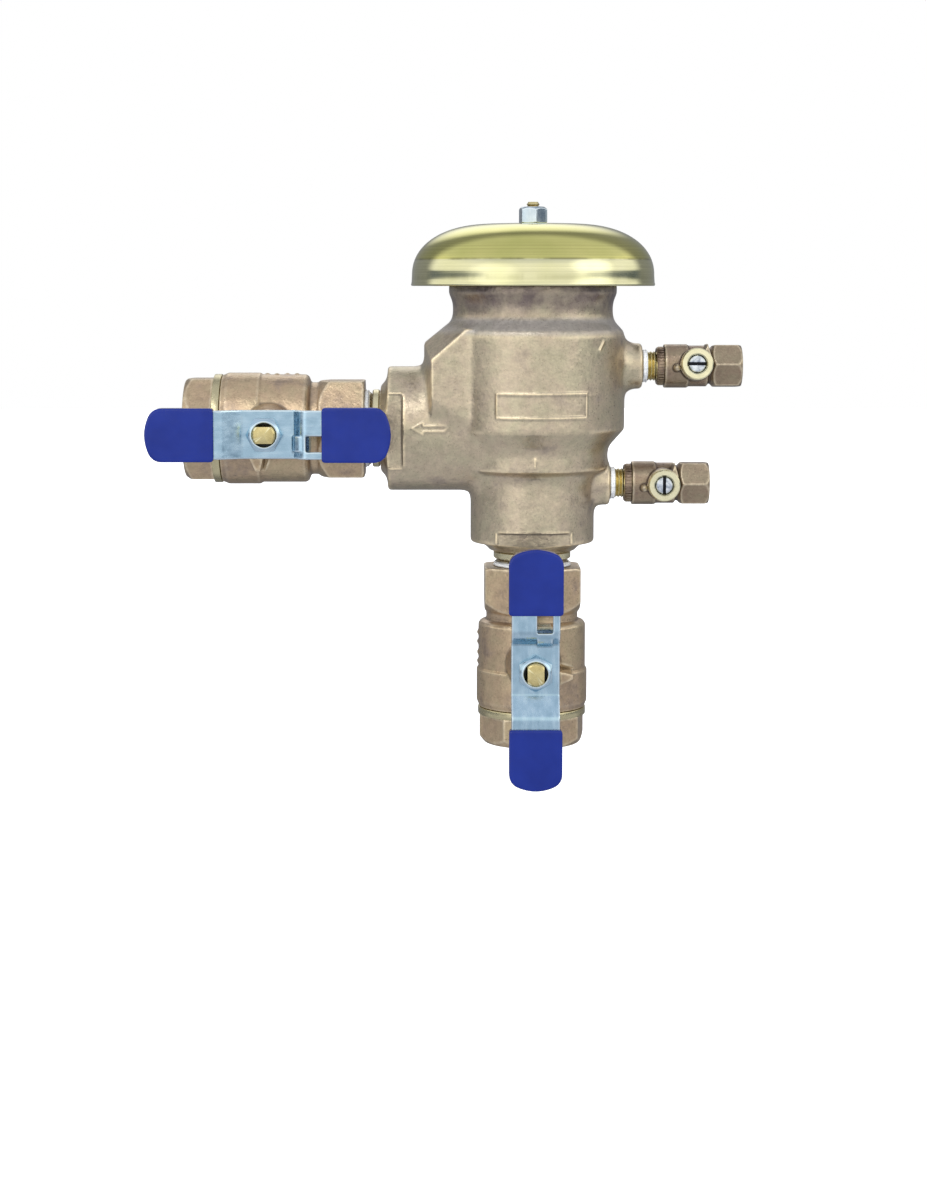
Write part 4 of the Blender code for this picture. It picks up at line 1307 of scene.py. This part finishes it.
class Room(Nodes):
    """The world's light by direction. X is to the right, Y is away and Z is up."""

    def __init__(self, name):
        self.world = bpy.data.worlds.new(name)
        super().__init__(self.world)
        self.way = self.node("TexCoord").outputs["Generated"]
        split = self.node("SeparateXYZ")
        self.link(self.way, split.inputs[0])
        self.x, self.y, self.z = split.outputs

    def fade(self, source, low, high, last=1.0):
        return self.span(source, low, high, 0.0, last, "SMOOTHSTEP")

    def size_of(self, source):
        size = self.node("Math", operation="ABSOLUTE")
        self.link(source, size.inputs[0])
        return size.outputs[0]

    def levels(self, tinted):
        """Light by height: the heights go from -1 to 1, and each has a level and a tint."""
        stops = []
        for height, level, tint in tinted:
            stops.append(((height + 1) / 2, tuple(level * part for part in tint)))
        return self.ramp(self.span(self.z, -1, 1), *stops)

    def glow(self, base, azimuth, elevation, inner, outer, level):
        """Adds a soft round light. Azimuth 0 is in front, 90 to the right. All in degrees."""
        across = cos(radians(elevation))
        centre = (sin(radians(azimuth)) * across, -cos(radians(azimuth)) * across, sin(radians(elevation)))
        near = self.node("VectorMath", operation="DOT_PRODUCT")
        near.inputs[1].default_value = centre
        self.link(self.way, near.inputs[0])
        amount = self.fade(near.outputs["Value"], cos(radians(outer)), cos(radians(inner)), level)
        return self.mix(amount, base, (1, 1, 0.98), "ADD")

    def finish(self, light, strength):
        """The camera sees white, and everything else sees the light."""
        room = self.nodes["Background"]
        self.link(light, room.inputs["Color"])
        room.inputs["Strength"].default_value = strength
        white = self.node("Background", Color=(1, 1, 1, 1))
        choose = self.node("MixShader")
        self.link(self.node("LightPath").outputs["Is Camera Ray"], choose.inputs["Fac"])
        self.link(room.outputs[0], choose.inputs[1])
        self.link(white.outputs[0], choose.inputs[2])
        self.link(choose.outputs[0], self.nodes["World Output"].inputs["Surface"])
        bpy.context.scene.world = self.world


def surroundings():
    """A bright band in front above a dimmer floor, three soft lights, and dark cards at the sides."""
    room = Room("studio")
    warm, cool, card = (1, 1, 0.97), (0.94, 0.97, 1.05), (0.06, 0.075, 0.10)
    heights = (-1.0, -0.6, -0.30, -0.10, 0.06, 0.40, 0.60, 1.0)
    bright = (0.37, 0.33, 0.32, 0.44, 0.58, 0.60, 0.46, 0.40)
    tints = [warm if height in (0.06, 0.40) else cool for height in heights]
    front = room.levels(zip(heights, bright, tints))
    at_sides = room.fade(room.size_of(room.x), 0.68, 0.84)
    near_level = room.fade(room.size_of(room.z), 0.14, 0.07)
    front = room.mix(room.times(at_sides, near_level), front, card)
    behind = room.levels([(-1.0, 0.12, cool), (0.0, 0.15, cool), (1.0, 0.18, cool)])
    light = room.mix(room.fade(room.y, 0.32, 0.58), front, behind)
    light = room.glow(light, 58, 18, 6, 26, 0.40)
    light = room.glow(light, -41, 4, 6, 30, 0.22)
    light = room.glow(light, 182, 31, 3, 22, 0.6)
    room.finish(light, 2.0)


def camera():
    """A camera one metre in front, a little above the middle and tilted down slightly."""
    data = bpy.data.cameras.new("camera")
    data.lens = 69.6
    data.sensor_width = 36
    data.shift_x = 0.0154
    data.shift_y = -0.0858
    data.clip_start = 0.01
    data.clip_end = 50
    view = bpy.data.objects.new("camera", data)
    view.location = (-0.0377, -1.0, 0.1971)
    view.rotation_euler = (radians(90 - 5.17), 0, 0)
    bpy.context.scene.camera = add_to_scene(view)


def make_finishes():
    """The bronze of the body, of the valves and of the cocks, then the other metals and the rest."""
    body = (0.51, 0.45, 0.312), (0.545, 0.45, 0.328), (0.42, 0.345, 0.27), (1.0, 0.83, 0.55)
    valves = (0.50, 0.40, 0.25), (0.50, 0.37, 0.24), (0.36, 0.27, 0.20), (0.82, 0.70, 0.50)
    cocks = (0.33, 0.27, 0.18), (0.30, 0.22, 0.155), (0.18, 0.13, 0.105), (0.66, 0.56, 0.40)
    # The body's bronze gets painted shade up its neck between these heights.
    cast_bronze("cast_bronze", *body, neck_shade_heights=(180, 191))
    cast_bronze("valve_bronze", *valves)
    cast_bronze("cock_bronze", *cocks)
    spun_brass()
    machined_brass("machined_brass", (0.74, 0.62, 0.30), (0.52, 0.42, 0.18))
    machined_brass("pipe_brass", (0.62, 0.55, 0.40), (0.44, 0.38, 0.27))
    machined_brass("collar_brass", (0.48, 0.42, 0.26), (0.37, 0.32, 0.20))
    machined_brass("pale_brass", (0.76, 0.74, 0.58), (0.55, 0.54, 0.40))
    zinc = (0.31, 0.46, 0.56), (0.40, 0.56, 0.67), (0.53, 0.69, 0.79)
    zinc_plate("zinc_plate", *zinc)
    zinc_plate("handle_zinc", *zinc, hole=5.2)
    zinc_plate("nut_zinc", (0.36, 0.45, 0.51), (0.49, 0.57, 0.62), (0.64, 0.71, 0.75))
    bright_steel("bright_steel")
    bright_steel("slotted_steel", slot_floor=SLOT_FLOOR + 0.4)
    vinyl_grip()
    thread_tape()
    black_rubber()
    white_plastic()


make_finishes()
show_casting()
show_ball_valves()
show_test_cocks()
show_check_spring()
finish_cad_nodes()
studio()
pale_floor()
surroundings()
camera()
bpy.context.scene.view_settings.view_transform = "Standard"
